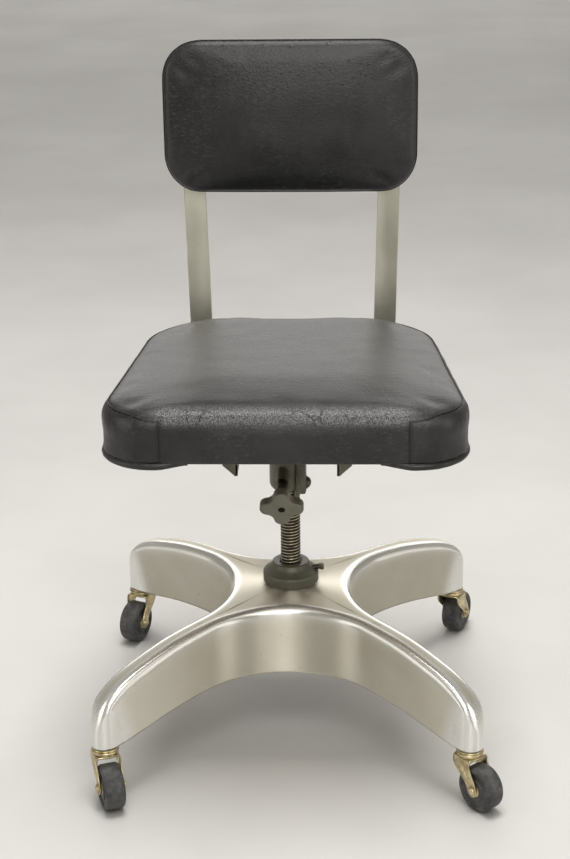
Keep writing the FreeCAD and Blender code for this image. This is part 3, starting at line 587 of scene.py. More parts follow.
def star_rows():
    """(kind, amount, polish) of every ring, from the skirt's edge to the hub."""
    rows = [("wall", share, 0.0) for share in (0.0, 0.03, 0.2, 0.4, 0.6, 0.8)]
    rows += [("wall", 0.9, 0.1), ("wall", 0.96, 0.3), ("wall", 1.0, 0.6)]
    for degrees in (8, 16, 25, 35, 45, 56, 67, 78, 90):
        rows.append(("inset", TOP_ROUND * (1 - math.cos(math.radians(degrees))), 0.6 + 0.4 * degrees / 90))
    rows += [("inset", 10.8, 0.7), ("inset", 12.0, 0.4), ("inset", 13.5, 0.1), ("inset", HALF_LEG, 0.0)]
    rows += [("hub", (share / 10) ** 1.3, 0.0) for share in range(1, 11)]
    return rows


def star_base():
    """Cast star: deep skirts swept from leg to leg, level top rolling down to each foot."""
    outline, rows = half_star(), star_rows()

    def shape(column, row):
        x, y = outline[column]
        kind, amount, polish = rows[row]
        radius = math.hypot(x, y)
        edge = crown(radius) - TOP_ROUND
        if kind == "wall":
            low = skirt(radius)
            return Vector((x, y, low + (edge - low) * amount)) * MM
        inset = amount if kind == "inset" else HALF_LEG
        spot = drawn_in(x, y, inset)
        if kind == "hub" and max(x, y) < ROOT:
            spot = spot.lerp(spot.normalized() * HUB_HOLE, amount)
        fall = max(0.0, TOP_ROUND - inset)
        height = crown(spot.length) - TOP_ROUND + math.sqrt(TOP_ROUND ** 2 - fall ** 2)
        return Vector((spot.x, spot.y, height)) * MM

    def polish(column, row):
        nose = smooth_step(math.hypot(*outline[column]) - 20.0 * (rows[row][1] - 1), 292, 318)
        kind, amount, shine = rows[row]
        return max(shine, 0.9 * nose if kind != "hub" else 0.0)

    quarter = moulded(len(outline) - 1, len(rows) - 1, shape, ("polish", polish))
    bmesh.ops.remove_doubles(quarter, verts=quarter.verts, dist=0.01 * MM)
    bmesh.ops.dissolve_degenerate(quarter, edges=quarter.edges, dist=0.005 * MM)
    quarter.transform(Matrix.Rotation(math.pi / 4, 4, "Z"))
    whole = quarter.verts[:] + quarter.edges[:] + quarter.faces[:]
    bmesh.ops.spin(quarter, geom=whole, cent=(0, 0, 0), axis=UP, angle=1.5 * math.pi, steps=3,
                   use_duplicate=True)
    bmesh.ops.remove_doubles(quarter, verts=quarter.verts, dist=0.02 * MM)
    facing(quarter, UP)
    made = piece("star_base", quarter, "cast_aluminium", "base_casting", crease=70.0, closed=False)
    thickened(made, CAST_WALL)
    made.modifiers.new("shading", "WEIGHTED_NORMAL").keep_sharp = True


def casting_bosses():
    """Bosses inside the casting: round the hub tube and over each caster stem."""
    parts = [turned([(22.0, 140), (29, 140), (31, 186), (22.0, 186)], closed=True)]
    profile = [(8, 76.1), (11.5, 76.1), (12.4, 77), (12.4, 98), (8, 98)]
    for corner in CORNERS:
        stem = Vector(JOINTS[f"caster_{corner}_swivel"]["pos_m"])
        parts.append(turned(profile, Matrix.Translation((stem.x, stem.y, 0)), 32, closed=True))
    return piece("casting_bosses", joined(*parts), "cast_aluminium", body="base")


# ---- casters ----
def caster_frame(corner):
    """Placement of a caster, local X trailing back to the wheel; its trail and axle height in mm."""
    stem = Vector(JOINTS[f"caster_{corner}_swivel"]["pos_m"])
    axle = Vector(JOINTS[f"wheel_{corner}_spin"]["pos_m"])
    trail = axle.xy - stem.xy
    turn = Matrix.Rotation(math.atan2(trail.y, trail.x), 4, "Z")
    return Matrix.Translation((stem.x, stem.y, 0)) @ turn, trail.length / MM, axle.z / MM


def caster_tyre(corner):
    """Hard rubber wheel: flat tread, round shoulders, dished sides with a raised boss."""
    joint = JOINTS[f"wheel_{corner}_spin"]
    wheel = joint["pos_m"][2] / MM
    side = [(9.0, 12.4), (13.2, 12.4), (14.2, 12.0), (15.0, 10.6), (18.6, 10.3), (20.6, 11.0), (21.6, 12.3)]
    half = side + arc((wheel - 5.0, 7.7), 5.0, 90, 8, 7) + [(wheel - 0.1, 4.5), (wheel, 0.0)]
    profile = half + [(radius, -height) for radius, height in reversed(half[:-1])]
    bm = turned(profile, along(joint["pos_m"], joint["axis"]), 72, closed=True)
    return piece("tyre_" + corner, bm, "wheel_rubber", "wheel_tyre_" + corner, crease=30.0)


def wheel_bush(corner):
    """Metal bush with chamfered flanges, in the wheel's bore."""
    joint = JOINTS[f"wheel_{corner}_spin"]
    half = [(8.9, 12.6), (8.2, 12.9), (7.4, 13.6), (3.3, 13.6)]
    profile = [(radius, -height) for radius, height in reversed(half)] + half
    bm = turned(profile, along(joint["pos_m"], joint["axis"]), 40, closed=True)
    return piece("bush_" + corner, bm, "plated_steel", "wheel_hub_" + corner)


def fork_skin(trail, axle):
    """Outer skin of a fork, straddling the wheel: up one side, over the crown, down the other."""
    half, bend, top = 16.0, 5.0, 66.5
    low = axle - 8.0
    leg = [(half, low + (1 - math.cos(math.pi / 2 * i / 8)) * 8.0) for i in range(9)]
    leg += [(half, axle + (top - bend - axle) * i / 18) for i in range(1, 19)]
    side = leg + arc((half - bend, top - bend), bend, 0, 90, 6)[1:]
    side += [((half - bend) * (1 - i / 5), top) for i in range(1, 6)]
    path = side + [(-y, z) for y, z in reversed(side[:-1])]
    columns = 14

    def shape(column, row):
        y, z = path[row]
        share = smooth_step(z, axle - 1, 60)
        reach = math.sqrt(max(0.0, 64 - (axle - z) ** 2)) if z < axle else 8.0
        front = (trail - reach) * (1 - share) - 13.0 * share
        back = (trail + reach) * (1 - share) + 15.0 * share
        if z > top - 0.5:
            bulge = (1 - abs(y) / half) * 2.0
            front, back = front - bulge, back + bulge
        x = front + (back - front) * column / columns
        middle = trail * (1 - share) + 1.0 * share
        rib = smooth_step(4.2 - abs(x - middle + 1.5), 0, 2.0)
        rib *= smooth_step(z, 38, 42) * smooth_step(58 - z, 0, 4)
        lug = smooth_step(7.4 - math.hypot(x - trail, z - axle), 0, 1.6)
        outward = math.copysign(1.0, y) * (rib * 1.1 + lug * 0.5) if z < top - bend else 0.0
        return Vector((x, y + outward, z)) * MM

    return moulded(columns, len(path) - 1, shape)


def caster_fork(corner):
    """Pressed fork with a rib on each leg and a raised ball race on its crown."""
    place, trail, axle = caster_frame(corner)
    bm = fork_skin(trail, axle)
    facing(bm, UP)
    bm.transform(place)
    made = piece("fork_" + corner, bm, "plated_steel", "caster_fork_" + corner, crease=50.0, closed=False)
    thickened(made, 2.0)
    race = turned([(6, 66.2), (14.6, 66.2), (14.6, 67.2), (14.0, 68.1), (12.5, 68.4), (6, 68.4)], place, 48,
                  closed=True)
    piece("fork_race_" + corner, race, "plated_steel", body="caster_" + corner)


def caster_cap(corner):
    """Plated cap over the ball race, with a rolled lip, on the swivel stem."""
    place = caster_frame(corner)[0]
    profile = [(0, 68.5), (15.6, 68.5)] + arc((15.7, 69.8), 1.3, -90, 60, 6) + [(15.4, 71.4), (15.6, 72.4)]
    profile += arc((15.2, 73.2), 1.2, 0, 90, 4)
    profile += [(13.0, 74.6), (9.0, 74.6), (5.5, 75.4), (5.5, 124), (0, 124)]
    bm = turned(profile, place, 48)
    return piece("cap_" + corner, bm, "plated_steel", "caster_stem_" + corner)


def axle_rivet(corner):
    """Riveted axle: domed head each side on a thin washer."""
    joint = JOINTS[f"wheel_{corner}_spin"]
    half = [(3.2, 0.0), (3.2, 16.4), (6.4, 16.4), (6.4, 17.0), (5.4, 17.1), (5.1, 17.9), (4.0, 18.8),
            (2.2, 19.3), (0.0, 19.4)]
    profile = [(radius, -height) for radius, height in reversed(half[1:])] + half
    bm = turned(profile, along(joint["pos_m"], joint["axis"]), 32)
    return piece("axle_" + corner, bm, "plated_steel", "caster_axle_" + corner)


# ---- height screw ----
PITCH = 25.4 / 6
SCREW_R = 13.0
ROOT_R = 11.1
KEYWAY_FLOOR = 10.6


def lift_screw():
    """Lift screw with a true helical thread and a keyway down its back."""
    steps = 40
    turns = int(209.0 / PITCH)
    thread = bmesh.new()
    profile = [(ROOT_R - 0.1, 0.2), (12.4, 1.1), (12.9, 1.45), (SCREW_R, 1.9), (12.9, 2.4), (12.4, 2.75),
               (ROOT_R - 0.1, 3.7)]
    points = [thread.verts.new((radius * MM, 0, (112.0 + height) * MM)) for radius, height in profile]
    edges = [thread.edges.new(pair) for pair in zip(points, points[1:])]
    bmesh.ops.spin(thread, geom=points + edges, cent=(0, 0, 0), axis=UP, angle=2 * math.pi * turns,
                   steps=steps * turns, dvec=(0, 0, PITCH / steps * MM))
    facing(thread, (1, 0, 0))
    core = turned([(0, 105), (10.8, 105), (ROOT_R, 106), (ROOT_R, 322), (SCREW_R, 323), (SCREW_R, 345),
                   (0, 345)], steps=steps)
    whole = joined(thread, core)
    for vertex in whole.verts:
        if vertex.co.y > 0 and abs(vertex.co.x) < 2.6 * MM and vertex.co.z < 319 * MM:
            vertex.co.y = min(vertex.co.y, KEYWAY_FLOOR * MM)
    return piece("lift_screw", whole, "dark_steel", "spindle", closed=False, crease=50.0)


def hub_collar():
    """Painted collar the screw runs in: drum below, a soft shoulder, and a shallow cone on top."""
    profile = [(13.1, 194), (35, 194), (35.8, 194.6), (36, 195.5), (36, 205.2)]
    profile += arc((32.6, 205.4), 3.4, 0, 66, 7) + [(30.5, 210.6), (27.5, 213.6), (24.6, 216.6)]
    profile += arc((21.4, 217.9), 3.1, 38, 90, 5)
    profile += [(19.0, 221.0), (15.4, 221.0), (14.2, 220.2), (13.1, 219.0)]
    bm = turned(profile, steps=96, closed=True)
    piece("hub_collar", bm, "green_grey_paint", "hub_nut", crease=50.0)


def collar_screw():
    """Square-headed set screw in the collar's side."""
    hi = Vector(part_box("hub_set_screw")[1]) / MM
    head = block((hi.x - 6.0, hi.x), (-3.5, 3.5), (hi.z - 7.0, hi.z), 0.7)
    root = Vector((hi.x - 6.0, 0, hi.z - 3.5)) * MM
    neck = turned([(3.4, -16), (3.4, 0.5)], along(root, (1, 0, 0.22)), 24)
    return piece("collar_screw", joined(head, neck), "dark_steel.plain", "hub_set_screw", closed=False)


# ---- tilt control ----
def control():
    """Cast control: rounded boss on the screw, clamp ear, and a shallow box under the seat."""
    boss = arc((12.0, 333.0), 11.0, -90, 0, 8)
    parts = [turned([(0, 322.0)] + boss + [(23.0, 392.0), (23.0, 404.0), (0, 404.0)],
                    Matrix.Translation((-3.0 * MM, 0, 0)), 64)]
    parts.append(block((8.0, 21.0), (-24.0, 20.0), (323.0, 385.0), 2.6))
    parts.append(block((15.5, 21.6), (-22.4, -3.6), (326.6, 345.4), 1.0))
    left, right, front, back, low, high, wall = -61, 61, -45, 42, 380.0, 404.0, 4.0
    for across, deep, bottom in (((left, right), (front, back), high - wall),
                                 ((left, right), (front, front + wall), low),
                                 ((left, right), (back - wall, back), low),
                                 ((left, left + wall), (front, back), low),
                                 ((right - wall, right), (front, back), low)):
        parts.append(block(across, deep, (bottom, high), 0.8))
    parts.append(turned([(0, 0), (7.5, 0), (7.5, 24), (0, 24)],
                        along(Vector((-8, -38, 345.9)) * MM, (0, 0.9205, 0.3907)), 32))
    return piece("control_casting", joined(*parts), "green_grey_paint", "control_housing", closed=False)


def clamp_screw():
    """Round-headed clamp bolt on its washer."""
    place = along(Vector((21.6, -13.0, 336.0)) * MM, (1, 0, 0))
    parts = [turned([(0, 0), (8.2, 0), (8.5, 0.4), (8.5, 1.0), (8.2, 1.4), (0, 1.4)], place, 40)]
    parts.append(turned([(0, 1.4), (7.2, 1.4), (7.1, 2.2)] + arc((0.0, -2.4), 8.5, 33, 90, 7), place, 40))
    return piece("clamp_screw", joined(*parts), "dark_steel.plain", "clamp_bolt")


def lock_bolt():
    """Small square-headed screw under the boss."""
    head = block((5.5, 12.5), (-20.5, -13.5), (308.0, 315.0), 0.7)
    neck = turned([(3.0, 314.0), (3.0, 330.0)], Matrix.Translation((9 * MM, -17 * MM, 0)), 24)
    return piece("lock_bolt", joined(head, neck), "dark_steel.plain", "lock_screw", closed=False)


def knob_outline():
    """Four round lobes run into four hollows."""
    lobe_at, lobe, bite_at = 17.5, 10.0, 29.5
    bite = math.dist((lobe_at, 0), (bite_at * math.sqrt(0.5), bite_at * math.sqrt(0.5))) - lobe
    lean = math.degrees(math.atan2(bite_at * math.sqrt(0.5), bite_at * math.sqrt(0.5) - lobe_at))
    outline = []
    for i in range(4):
        turn = math.radians(90 * i)
        centre = (lobe_at * math.cos(turn), lobe_at * math.sin(turn))
        outline += arc(centre, lobe, 90 * i - lean, 90 * i + lean, 18)[:-1]
        turn += math.pi / 4
        centre = (bite_at * math.cos(turn), bite_at * math.sin(turn))
        outline += arc(centre, bite, 90 * i + 180 + lean, 90 * i + 270 - lean, 10)[:-1]
    return outline


def knob():
    """Hand knob: lobed disc with rounded rims, hub, and a dark disc on its face, painted shade for the hole
    where the rod ends.
    """
    front = Vector((-8.0, -82.0, 327.2)) * MM
    place = along(front, (0, math.cos(math.radians(23)), math.sin(math.radians(23))))
    disc = eased(prism(knob_outline(), 0.0, 13.0), 1.8 * MM, 3, 60.0)
    disc.transform(place)
    hub = turned([(0, 12.5), (12.8, 12.5), (12.0, 14.5), (11.5, 23.0), (10.6, 24.0), (0, 24.0)], place, 48)
    made = piece("knob", joined(disc, hub), "knob_paint", "tension_knob", closed=False)
    # A dark disc on the knob's face: painted shade standing for the hole where the rod ends.
    hole_shade_disc = turned([(4.6, 0.3), (4.3, -0.12), (3.6, -0.02), (0, -0.02)], place, 32)
    piece("knob_hole_shade_disc", hole_shade_disc, "knob_paint.bore", body="tilt_knob", closed=False)
    sleeve = turned([(0, 23.5), (9.4, 23.5), (9.4, 25.5), (7.3, 26.6), (7.3, 57.2), (6.6, 58.0), (0, 58.0)],
                    place, 40)
    piece("knob_sleeve", sleeve, "dark_steel.plain", body="tilt_knob", closed=False)
    return made


def plate(side):
    """Formed side plate: web, flange under the board, and a folded gusset in front."""
    name = "side_plate_left" if side < 0 else "side_plate_right"
    inner, outer, tip, top = 61.0, 79.0, 378.0, 441.0
    web = prism([(-95, tip), (82, tip), (82, top), (-95, top)], 0, 3)
    web.transform(Matrix(((0, 0, 1, inner * MM), (1, 0, 0, 0), (0, 1, 0, 0), (0, 0, 0, 1))))
    flange = block((inner, outer), (-95, 82), (top - 3, top))
    gusset = prism([(inner, tip), (inner + 3, tip), (outer, tip + 14), (outer, top), (inner, top)], 0, 3)
    gusset.transform(Matrix(((1, 0, 0, 0), (0, 0, 1, -95 * MM), (0, 1, 0, 0), (0, 0, 0, 1))))
    parts = [eased(part, 0.6 * MM) for part in (web, flange, gusset)]
    bm = joined(*parts)
    if side < 0:
        bm.transform(Matrix.Scale(-1, 4, (1, 0, 0)))
    return piece(name.replace("side_", "formed_"), bm, "green_grey_paint", name)


# ---- back arms ----
BAR_X, BAR_Z, BAR_HALF, BAR_T = 122.2, 409.0, 14.0, 5.0
HINGE = Vector(JOINTS["backrest_tilt"]["pos_m"]) / MM
LEAN = math.radians(1.27)


def back_bar(side):
    """Flat bar: run under the seat, an easy bend, and a leaning upright rolled into an eye."""
    front, back, bend, top = 46.0, 202.0, 28.0, HINGE.z
    centre = (back - bend, BAR_Z + BAR_T + bend)
    outer = [(front, BAR_Z)] + arc(centre, bend + BAR_T, -90, 0, 12) + [(back + BAR_T, top)]
    inner = [(back, top)] + arc(centre, bend, 0, -90, 12) + [(front, BAR_Z + BAR_T)]
    bar = prism(outer + inner, -BAR_HALF, BAR_HALF)
    bar.transform(Matrix(((0, 0, 1, 0), (1, 0, 0, 0), (0, 1, 0, 0), (0, 0, 0, 1))))
    eased(bar, 0.9 * MM, 2, 50.0)
    foot = Vector((0, 0, BAR_Z * MM))
    bar.transform(Matrix.Translation(foot) @ Matrix.Rotation(LEAN, 4, "Y") @ Matrix.Translation(-foot))
    bar.transform(Matrix.Translation((BAR_X * MM, 0, 0)))
    eye_x = BAR_X + (HINGE.z - BAR_Z) * math.tan(LEAN)
    eye = turned([(3.1, -14), (6.2, -14), (6.5, -13.6), (6.5, 13.6), (6.2, 14), (3.1, 14)],
                 along(Vector((eye_x, HINGE.y, HINGE.z)) * MM, (1, 0, 0)), 32, closed=True)
    bm = joined(bar, eye)
    if side < 0:
        bm.transform(Matrix.Scale(-1, 4, (1, 0, 0)))
        bmesh.ops.reverse_faces(bm, faces=bm.faces)
    name = "left" if side < 0 else "right"
    return piece("upright_" + name, bm, "bar_aluminium", "back_bar_" + name, closed=False)


# ---- upholstery ----
SEAT_FRONT, SEAT_BACK = -205.0, 166.0
SEAT_HALF_FRONT, SEAT_HALF_BACK = 225.0, 179.0
SEAT_LOW, BOARD_TOP = 437.6, 453.0
SEAM_X = 146.0
WELT_Z, WELT_R, WELT_END = 434.3, 4.6, 113.0
BACK_HALF, BACK_LOW, BACK_HIGH = 165.0, 665.5, 866.0
BACK_MID = (BACK_LOW + BACK_HIGH) / 2
PAN_FRONT = 190.0
BACK_PLACE = Matrix(((1, 0, 0, 0), (0, 0, -1, PAN_FRONT * MM), (0, 1, 0, 0), (0, 0, 0, 1)))


def seat_outline(inset, steps=14):
    """Plan of the seat: wider in front, with large round corners at the back."""
    front, back = SEAT_HALF_FRONT - inset, SEAT_HALF_BACK - inset
    corners = [(-front, SEAT_FRONT + inset), (front, SEAT_FRONT + inset),
               (back, SEAT_BACK - inset), (-back, SEAT_BACK - inset)]
    return rounded(corners, [62 - inset, 62 - inset, 108 - inset, 108 - inset], steps)


def back_outline(inset, steps=14):
    """Outline of the backrest in (x, z)."""
    half, low, high = BACK_HALF - inset, BACK_LOW + inset, BACK_HIGH - inset
    return rounded([(-half, low), (half, low), (half, high), (-half, high)], [50 - inset] * 4, steps)


def divided(outline, longest):
    """Outline with extra points on its long runs."""
    points = []
    for here, after in zip(outline, outline[1:] + outline[:1]):
        count = max(1, math.ceil(math.dist(here, after) / longest))
        across, deep = after[0] - here[0], after[1] - here[1]
        points += [(here[0] + across * i / count, here[1] + deep * i / count) for i in range(count)]
    return points


def inflated(bm, held, cap, voxel):
    """Blow a closed pad up from inside; held(point) is how firmly a point stays, from 0 to 1."""
    mesh = bpy.data.meshes.new("pad")
    bm.to_mesh(mesh)
    bm.free()
    pad = placed("pad", mesh)
    remesh = pad.modifiers.new("remesh", "REMESH")
    remesh.mode = "VOXEL"
    remesh.voxel_size = voxel * MM
    bake(pad)
    start = [(vertex.co.copy(), vertex.normal.copy()) for vertex in pad.data.vertices]
    group = pad.vertex_groups.new(name="held")
    for vertex in pad.data.vertices:
        group.add([vertex.index], held(vertex.co / MM), "REPLACE")
    cloth = pad.modifiers.new("cloth", "CLOTH")
    cloth.settings.vertex_group_mass = "held"
    cloth.settings.quality = 4
    cloth.settings.mass = 0.3
    cloth.settings.tension_stiffness = 25
    cloth.settings.compression_stiffness = 25
    cloth.settings.shear_stiffness = 12
    cloth.settings.bending_stiffness = 2
    cloth.settings.use_pressure = True
    cloth.settings.uniform_pressure_force = 4.0
    cloth.settings.effector_weights.gravity = 0
    for number in range(1, 21):
        bpy.context.scene.frame_set(number)
    bake(pad)
    bpy.context.scene.frame_set(1)
    for vertex, (rest, normal) in zip(pad.data.vertices, start):
        limit = cap(rest / MM) * MM
        shift = vertex.co - rest
        if shift.length > limit:
            shift *= limit / shift.length
        even = 0.55
        vertex.co = rest + shift * (1 - even) + normal * limit * even
    smooth = pad.modifiers.new("even", "SMOOTH")
    smooth.factor = 0.5
    smooth.iterations = 3
    finer = pad.modifiers.new("finer", "SUBSURF")
    finer.levels = finer.render_levels = 1
    bake(pad)
    result = bmesh.new()
    result.from_mesh(pad.data)
    bpy.data.objects.remove(pad)
    return result


def bake(made):
    """Apply every modifier of an object."""
    graph = bpy.context.evaluated_depsgraph_get()
    mesh = bpy.data.meshes.new_from_object(made.evaluated_get(graph))
    made.modifiers.clear()
    made.data = mesh


def onto(tree, point, direction, lift):
    """Where a ray from outside meets a pad, raised a little off it, all in millimetres."""
    aim = Vector(direction).normalized()
    hit, normal, _, _ = tree.ray_cast((Vector(point) - aim * 60.0) * MM, aim)
    return hit + normal * lift * MM if hit else Vector(point) * MM


def pinched(bm, lines, width, depth):
    """Draw the cover in along sewn lines, and note how near each vertex is to one."""
    bm.normal_update()
    tree = KDTree(sum(len(line) for line in lines))
    for number, point in enumerate(point for line in lines for point in line):
        tree.insert(point, number)
    tree.balance()
    # This weight darkens the vinyl along each seam: painted shade in the groove.
    layer = bm.verts.layers.float.new("seam")
    moves = []
    for vertex in bm.verts:
        away = tree.find(vertex.co)[2] / MM
        near = math.exp(-(away / width) ** 2)
        vertex[layer] = near
        moves.append((vertex, vertex.normal * near * depth * MM))
    for vertex, move in moves:
        vertex.co -= move


def outward(x, y):
    """Unit normal of the seat's plan outline near a point on it."""
    aside = Vector((x, y)) - Vector((max(-100.0, min(100.0, x)), max(-130.0, min(50.0, y))))
    return aside.normalized()


def from_edge(x, y):
    """Rough crown factor, 0 at the seat's edge and 1 well inside it."""
    taper = SEAT_HALF_BACK - SEAT_HALF_FRONT
    half = SEAT_HALF_FRONT + taper * (y - SEAT_FRONT) / (SEAT_BACK - SEAT_FRONT)
    across = smooth_step(half - abs(x), -30, 130)
    return across * min(smooth_step(y - SEAT_FRONT, -20, 120), smooth_step(SEAT_BACK - y, -60, 60))


def seat_rim():
    """Plan points of the top seam: from one front seam round the back to the other."""
    points = divided(seat_outline(0.0), 8.0)
    first = min(range(len(points)), key=lambda i: math.dist(points[i], (SEAM_X, SEAT_FRONT)))
    points = points[first:] + points[:first]
    last = min(range(len(points)), key=lambda i: math.dist(points[i], (-SEAM_X, SEAT_FRONT)))
    return points[:last + 1]


def seam_place(x, y):
    """Where the top seam runs beside a plan point: on the front face low, then up on to the rim."""
    share = max(smooth_step(abs(x), SEAM_X, SEAM_X + 46), smooth_step(y, SEAT_FRONT + 1, SEAT_FRONT + 30))
    out = outward(x, y)
    spot = Vector((x, y, 491.5 + 5.5 * share)) - Vector((out.x, out.y, 0)) * 7.0 * share
    return spot, (-out.x, -out.y, -0.35 - 0.9 * share)


def seat_seam(tree):
    """Line of the felled seam on the cushion, both front seams included."""
    line = []
    for side, heights in ((1, range(440, 490, 3)), (-1, range(488, 439, -3))):
        face = [onto(tree, (side * SEAM_X, SEAT_FRONT, z), (0, 1, 0), 0.25) for z in heights]
        if side < 0:
            line += [onto(tree, *seam_place(x, y), 0.25) for x, y in seat_rim()]
        line += face
    return line


def seat_cushion():
    """Boxed seat pad: crowned top, waterfall front panel, a seam round the sides and back."""
    bm = prism(seat_outline(0.2), SEAT_LOW, 498.5)
    floor_face = min(bm.faces, key=lambda face: face.calc_center_median().z)
    for thickness in (10.6, 0.4):
        bmesh.ops.inset_region(bm, faces=[floor_face], thickness=thickness * MM)
    for vertex in floor_face.verts:
        vertex.co.z = (BOARD_TOP + 0.4) * MM
    rim = [edge for edge in bm.edges if all(vertex.co.z > 497 * MM for vertex in edge.verts)]
    bmesh.ops.bevel(bm, geom=rim, offset=15 * MM, offset_type="OFFSET", segments=6, profile=0.5,
                    affect="EDGES", material=-1, clamp_overlap=False)

    def held(point):
        return 1.0 if point.z < 458 else 0.0

    def cap(point):
        if point.z < 458:
            return 0.5
        side = 5.2 * smooth_step(abs(point.z - 482), 24, 4) + 0.5
        top = 3.8 + 6.0 * from_edge(point.x, point.y)
        share = smooth_step(point.z, 484, 493)
        return side * (1 - share) + top * share

    bm = inflated(bm, held, cap, 5.0)
    lowest = min(vertex.co.z for vertex in bm.verts)
    for vertex in bm.verts:
        low = smooth_step(vertex.co.z / MM, 449, lowest / MM)
        out = outward(vertex.co.x / MM, vertex.co.y / MM)
        vertex.co += Vector((out.x * 1.8 * MM, out.y * 1.8 * MM, (SEAT_LOW - 1.0) * MM - lowest)) * low
        crest = max(0.0, 1 - (vertex.co.x / MM / 200.0) ** 2)
        vertex.co.z += 1.5 * MM * crest * smooth_step(vertex.co.z / MM, 484, 500)
    seam = seat_seam(BVHTree.FromBMesh(bm))
    pinched(bm, [seam], 2.6, 0.9)
    wrinkle(bm)
    # Weight for the painted highlight, and the real cracks, along the seat's front top edge between the
    # seams.
    front = bm.verts.layers.float.new("highlight_and_cracks")
    for vertex in bm.verts:
        x, y, z = vertex.co / MM
        near = smooth_step(y, SEAT_FRONT + 30, SEAT_FRONT + 8) * smooth_step(z, 480, 493)
        vertex[front] = near * smooth_step(SEAM_X + 14 - abs(x), 0, 24)
    made = piece("seat_pad", bm, "black_vinyl", "seat_cushion", crease=180.0, closed=False)
    piece("seat_seam", swept(seam, 0.75 * MM, resolution=2), "black_vinyl.seam", body="seat", crease=180.0)


def wrinkle(bm):
    """Slight unevenness of worn padding."""
    bm.normal_update()
    for vertex in bm.verts:
        if vertex.co.z > 470 * MM:
            swell = noise.noise(vertex.co * 13.0) * 0.2 + noise.noise(vertex.co * 34.0) * 0.3
            vertex.co += vertex.normal * swell * MM


def seat_piping():
    """Thick welt round the lower edge, its ends tucked under the front panel."""
    points = divided(seat_outline(2.0), 6.0)
    first = min(range(len(points)), key=lambda i: math.dist(points[i], (WELT_END, SEAT_FRONT)))
    points = points[first:] + points[:first]
    last = min(range(len(points)), key=lambda i: math.dist(points[i], (-WELT_END, SEAT_FRONT)))
    line = []
    for x, y in points[:last + 1]:
        tucked = smooth_step(152 - abs(x), 0, 42) if y < SEAT_FRONT + 10 else 0.0
        line.append(Vector((x, y + 7.0 * tucked, WELT_Z + 0.6 + 3.6 * tucked)))
    bm = swept([point * MM for point in line], WELT_R * MM, resolution=6)
    bm.normal_update()
    for vertex in bm.verts:
        vertex.co += vertex.normal * noise.noise(vertex.co * 90.0) * 0.25 * MM
    return piece("seat_piping", bm, "black_vinyl", "seat_welt", crease=180.0)


def back_cushion():
    """Back pad: gently crowned face, rolled edge with a fine seam round its rim."""
    bm = prism(back_outline(1.8), 0.0, 21.0)
    rim = [edge for edge in bm.edges if all(vertex.co.z > 20.9 * MM for vertex in edge.verts)]
    bmesh.ops.bevel(bm, geom=rim, offset=9 * MM, offset_type="OFFSET", segments=4, profile=0.5,
                    affect="EDGES", material=-1, clamp_overlap=False)
    bm.transform(BACK_PLACE)

    def centre(point):
        across = smooth_step(BACK_HALF - abs(point.x), -30, 130)
        return across * smooth_step(BACK_HIGH - BACK_MID - abs(point.z - BACK_MID), -30, 90)

    bm = inflated(bm, lambda point: 1.0 if point.y > 184 else 0.0,
                  lambda point: 0.4 if point.y > 182 else 0.9 + 12.5 * centre(point), 4.5)
    tree = BVHTree.FromBMesh(bm)
    outline = divided(back_outline(0.0), 6.0)
    seam = []
    for x, z in outline + outline[:1]:
        inner = Vector((max(-110.0, min(110.0, x)), max(715.0, min(816.0, z))))
        aim = (inner - Vector((x, z))).normalized()
        seam.append(onto(tree, (x, 176.0, z), (aim.x, 0.75, aim.y), 0.2))
    pinched(bm, [seam], 2.4, 0.8)
    pins = bm.verts.layers.float.new("pinholes")
    for vertex in bm.verts:
        if vertex.co.y < 180 * MM:
            vertex[pins] = smooth_step(vertex.co.z / MM, BACK_MID - 20, BACK_MID + 40)
    made = piece("back_pad", bm, "black_vinyl", "back_cushion", crease=180.0, closed=False)
    cord = swept(seam, 0.7 * MM, resolution=2)
    piece("back_seam", cord, "black_vinyl.seam", body="backrest", crease=180.0)


def back_panel():
    """Painted steel panel behind the back pad, its edges eased."""
    bm = eased(prism(back_outline(7.0), -2.0, 0.0), 0.8 * MM)
    bm.transform(BACK_PLACE)
    return piece("back_panel", bm, "green_grey_paint", "back_pan")


# ---- stage ----
def floor():
    """Pale floor, swept up into a pale wall far behind."""
    bm = bmesh.new()
    points = [(0, -6.0, 0), (0, 9.2, 0)] + [(0, 9.2 + 0.4 * math.sin(a), 0.4 * (1 - math.cos(a)))
                                             for a in (0.4, 0.8, 1.2, math.pi / 2)] + [(0, 9.6, 6.0)]
    line = [bm.verts.new(point) for point in points]
    edges = [bm.edges.new(pair) for pair in zip(line, line[1:])]
    made = bmesh.ops.extrude_edge_only(bm, edges=edges)
    fresh = [item for item in made["geom"] if isinstance(item, bmesh.types.BMVert)]
    bmesh.ops.translate(bm, verts=fresh, vec=(14, 0, 0))
    bmesh.ops.translate(bm, verts=bm.verts, vec=(-7, 0, 0))
    bmesh.ops.recalc_face_normals(bm, faces=bm.faces)
    mesh = bpy.data.meshes.new("floor")
    bm.to_mesh(mesh)
    bm.free()
    mesh.materials.append(floor_paint())
    made = placed("floor", mesh)


def floor_paint():
    paint = Paint("floor_paint", 0.0, 0.45, Specular_IOR_Level=0.15)
    cloud = paint.grain(1.6, 4.0, 0.6)
    pale, paler = colour(0.60, 0.595, 0.585), colour(0.67, 0.665, 0.655)
    paint.feed("Base Color", paint.blend(paint.ramp(cloud, 0.3, 0.7), pale, paler))
    paint.feed("Roughness", 0.38 + cloud * 0.15)
    return paint.material


def lamp(name, place, target, size, power, mirrored=False):
    """Soft lamp, which either lights the scene or only shows as a sheen in glossy faces."""
    light = bpy.data.lights.new(name, "AREA")
    light.shape = "RECTANGLE"
    light.size, light.size_y = size
    light.energy = power
    light.color = (1.0, 0.98, 0.95)
    made = placed(name, light)
    made.location = place
    made.rotation_euler = (Vector(target) - Vector(place)).to_track_quat("-Z", "Y").to_euler()
    made.visible_glossy, made.visible_diffuse = mirrored, not mirrored


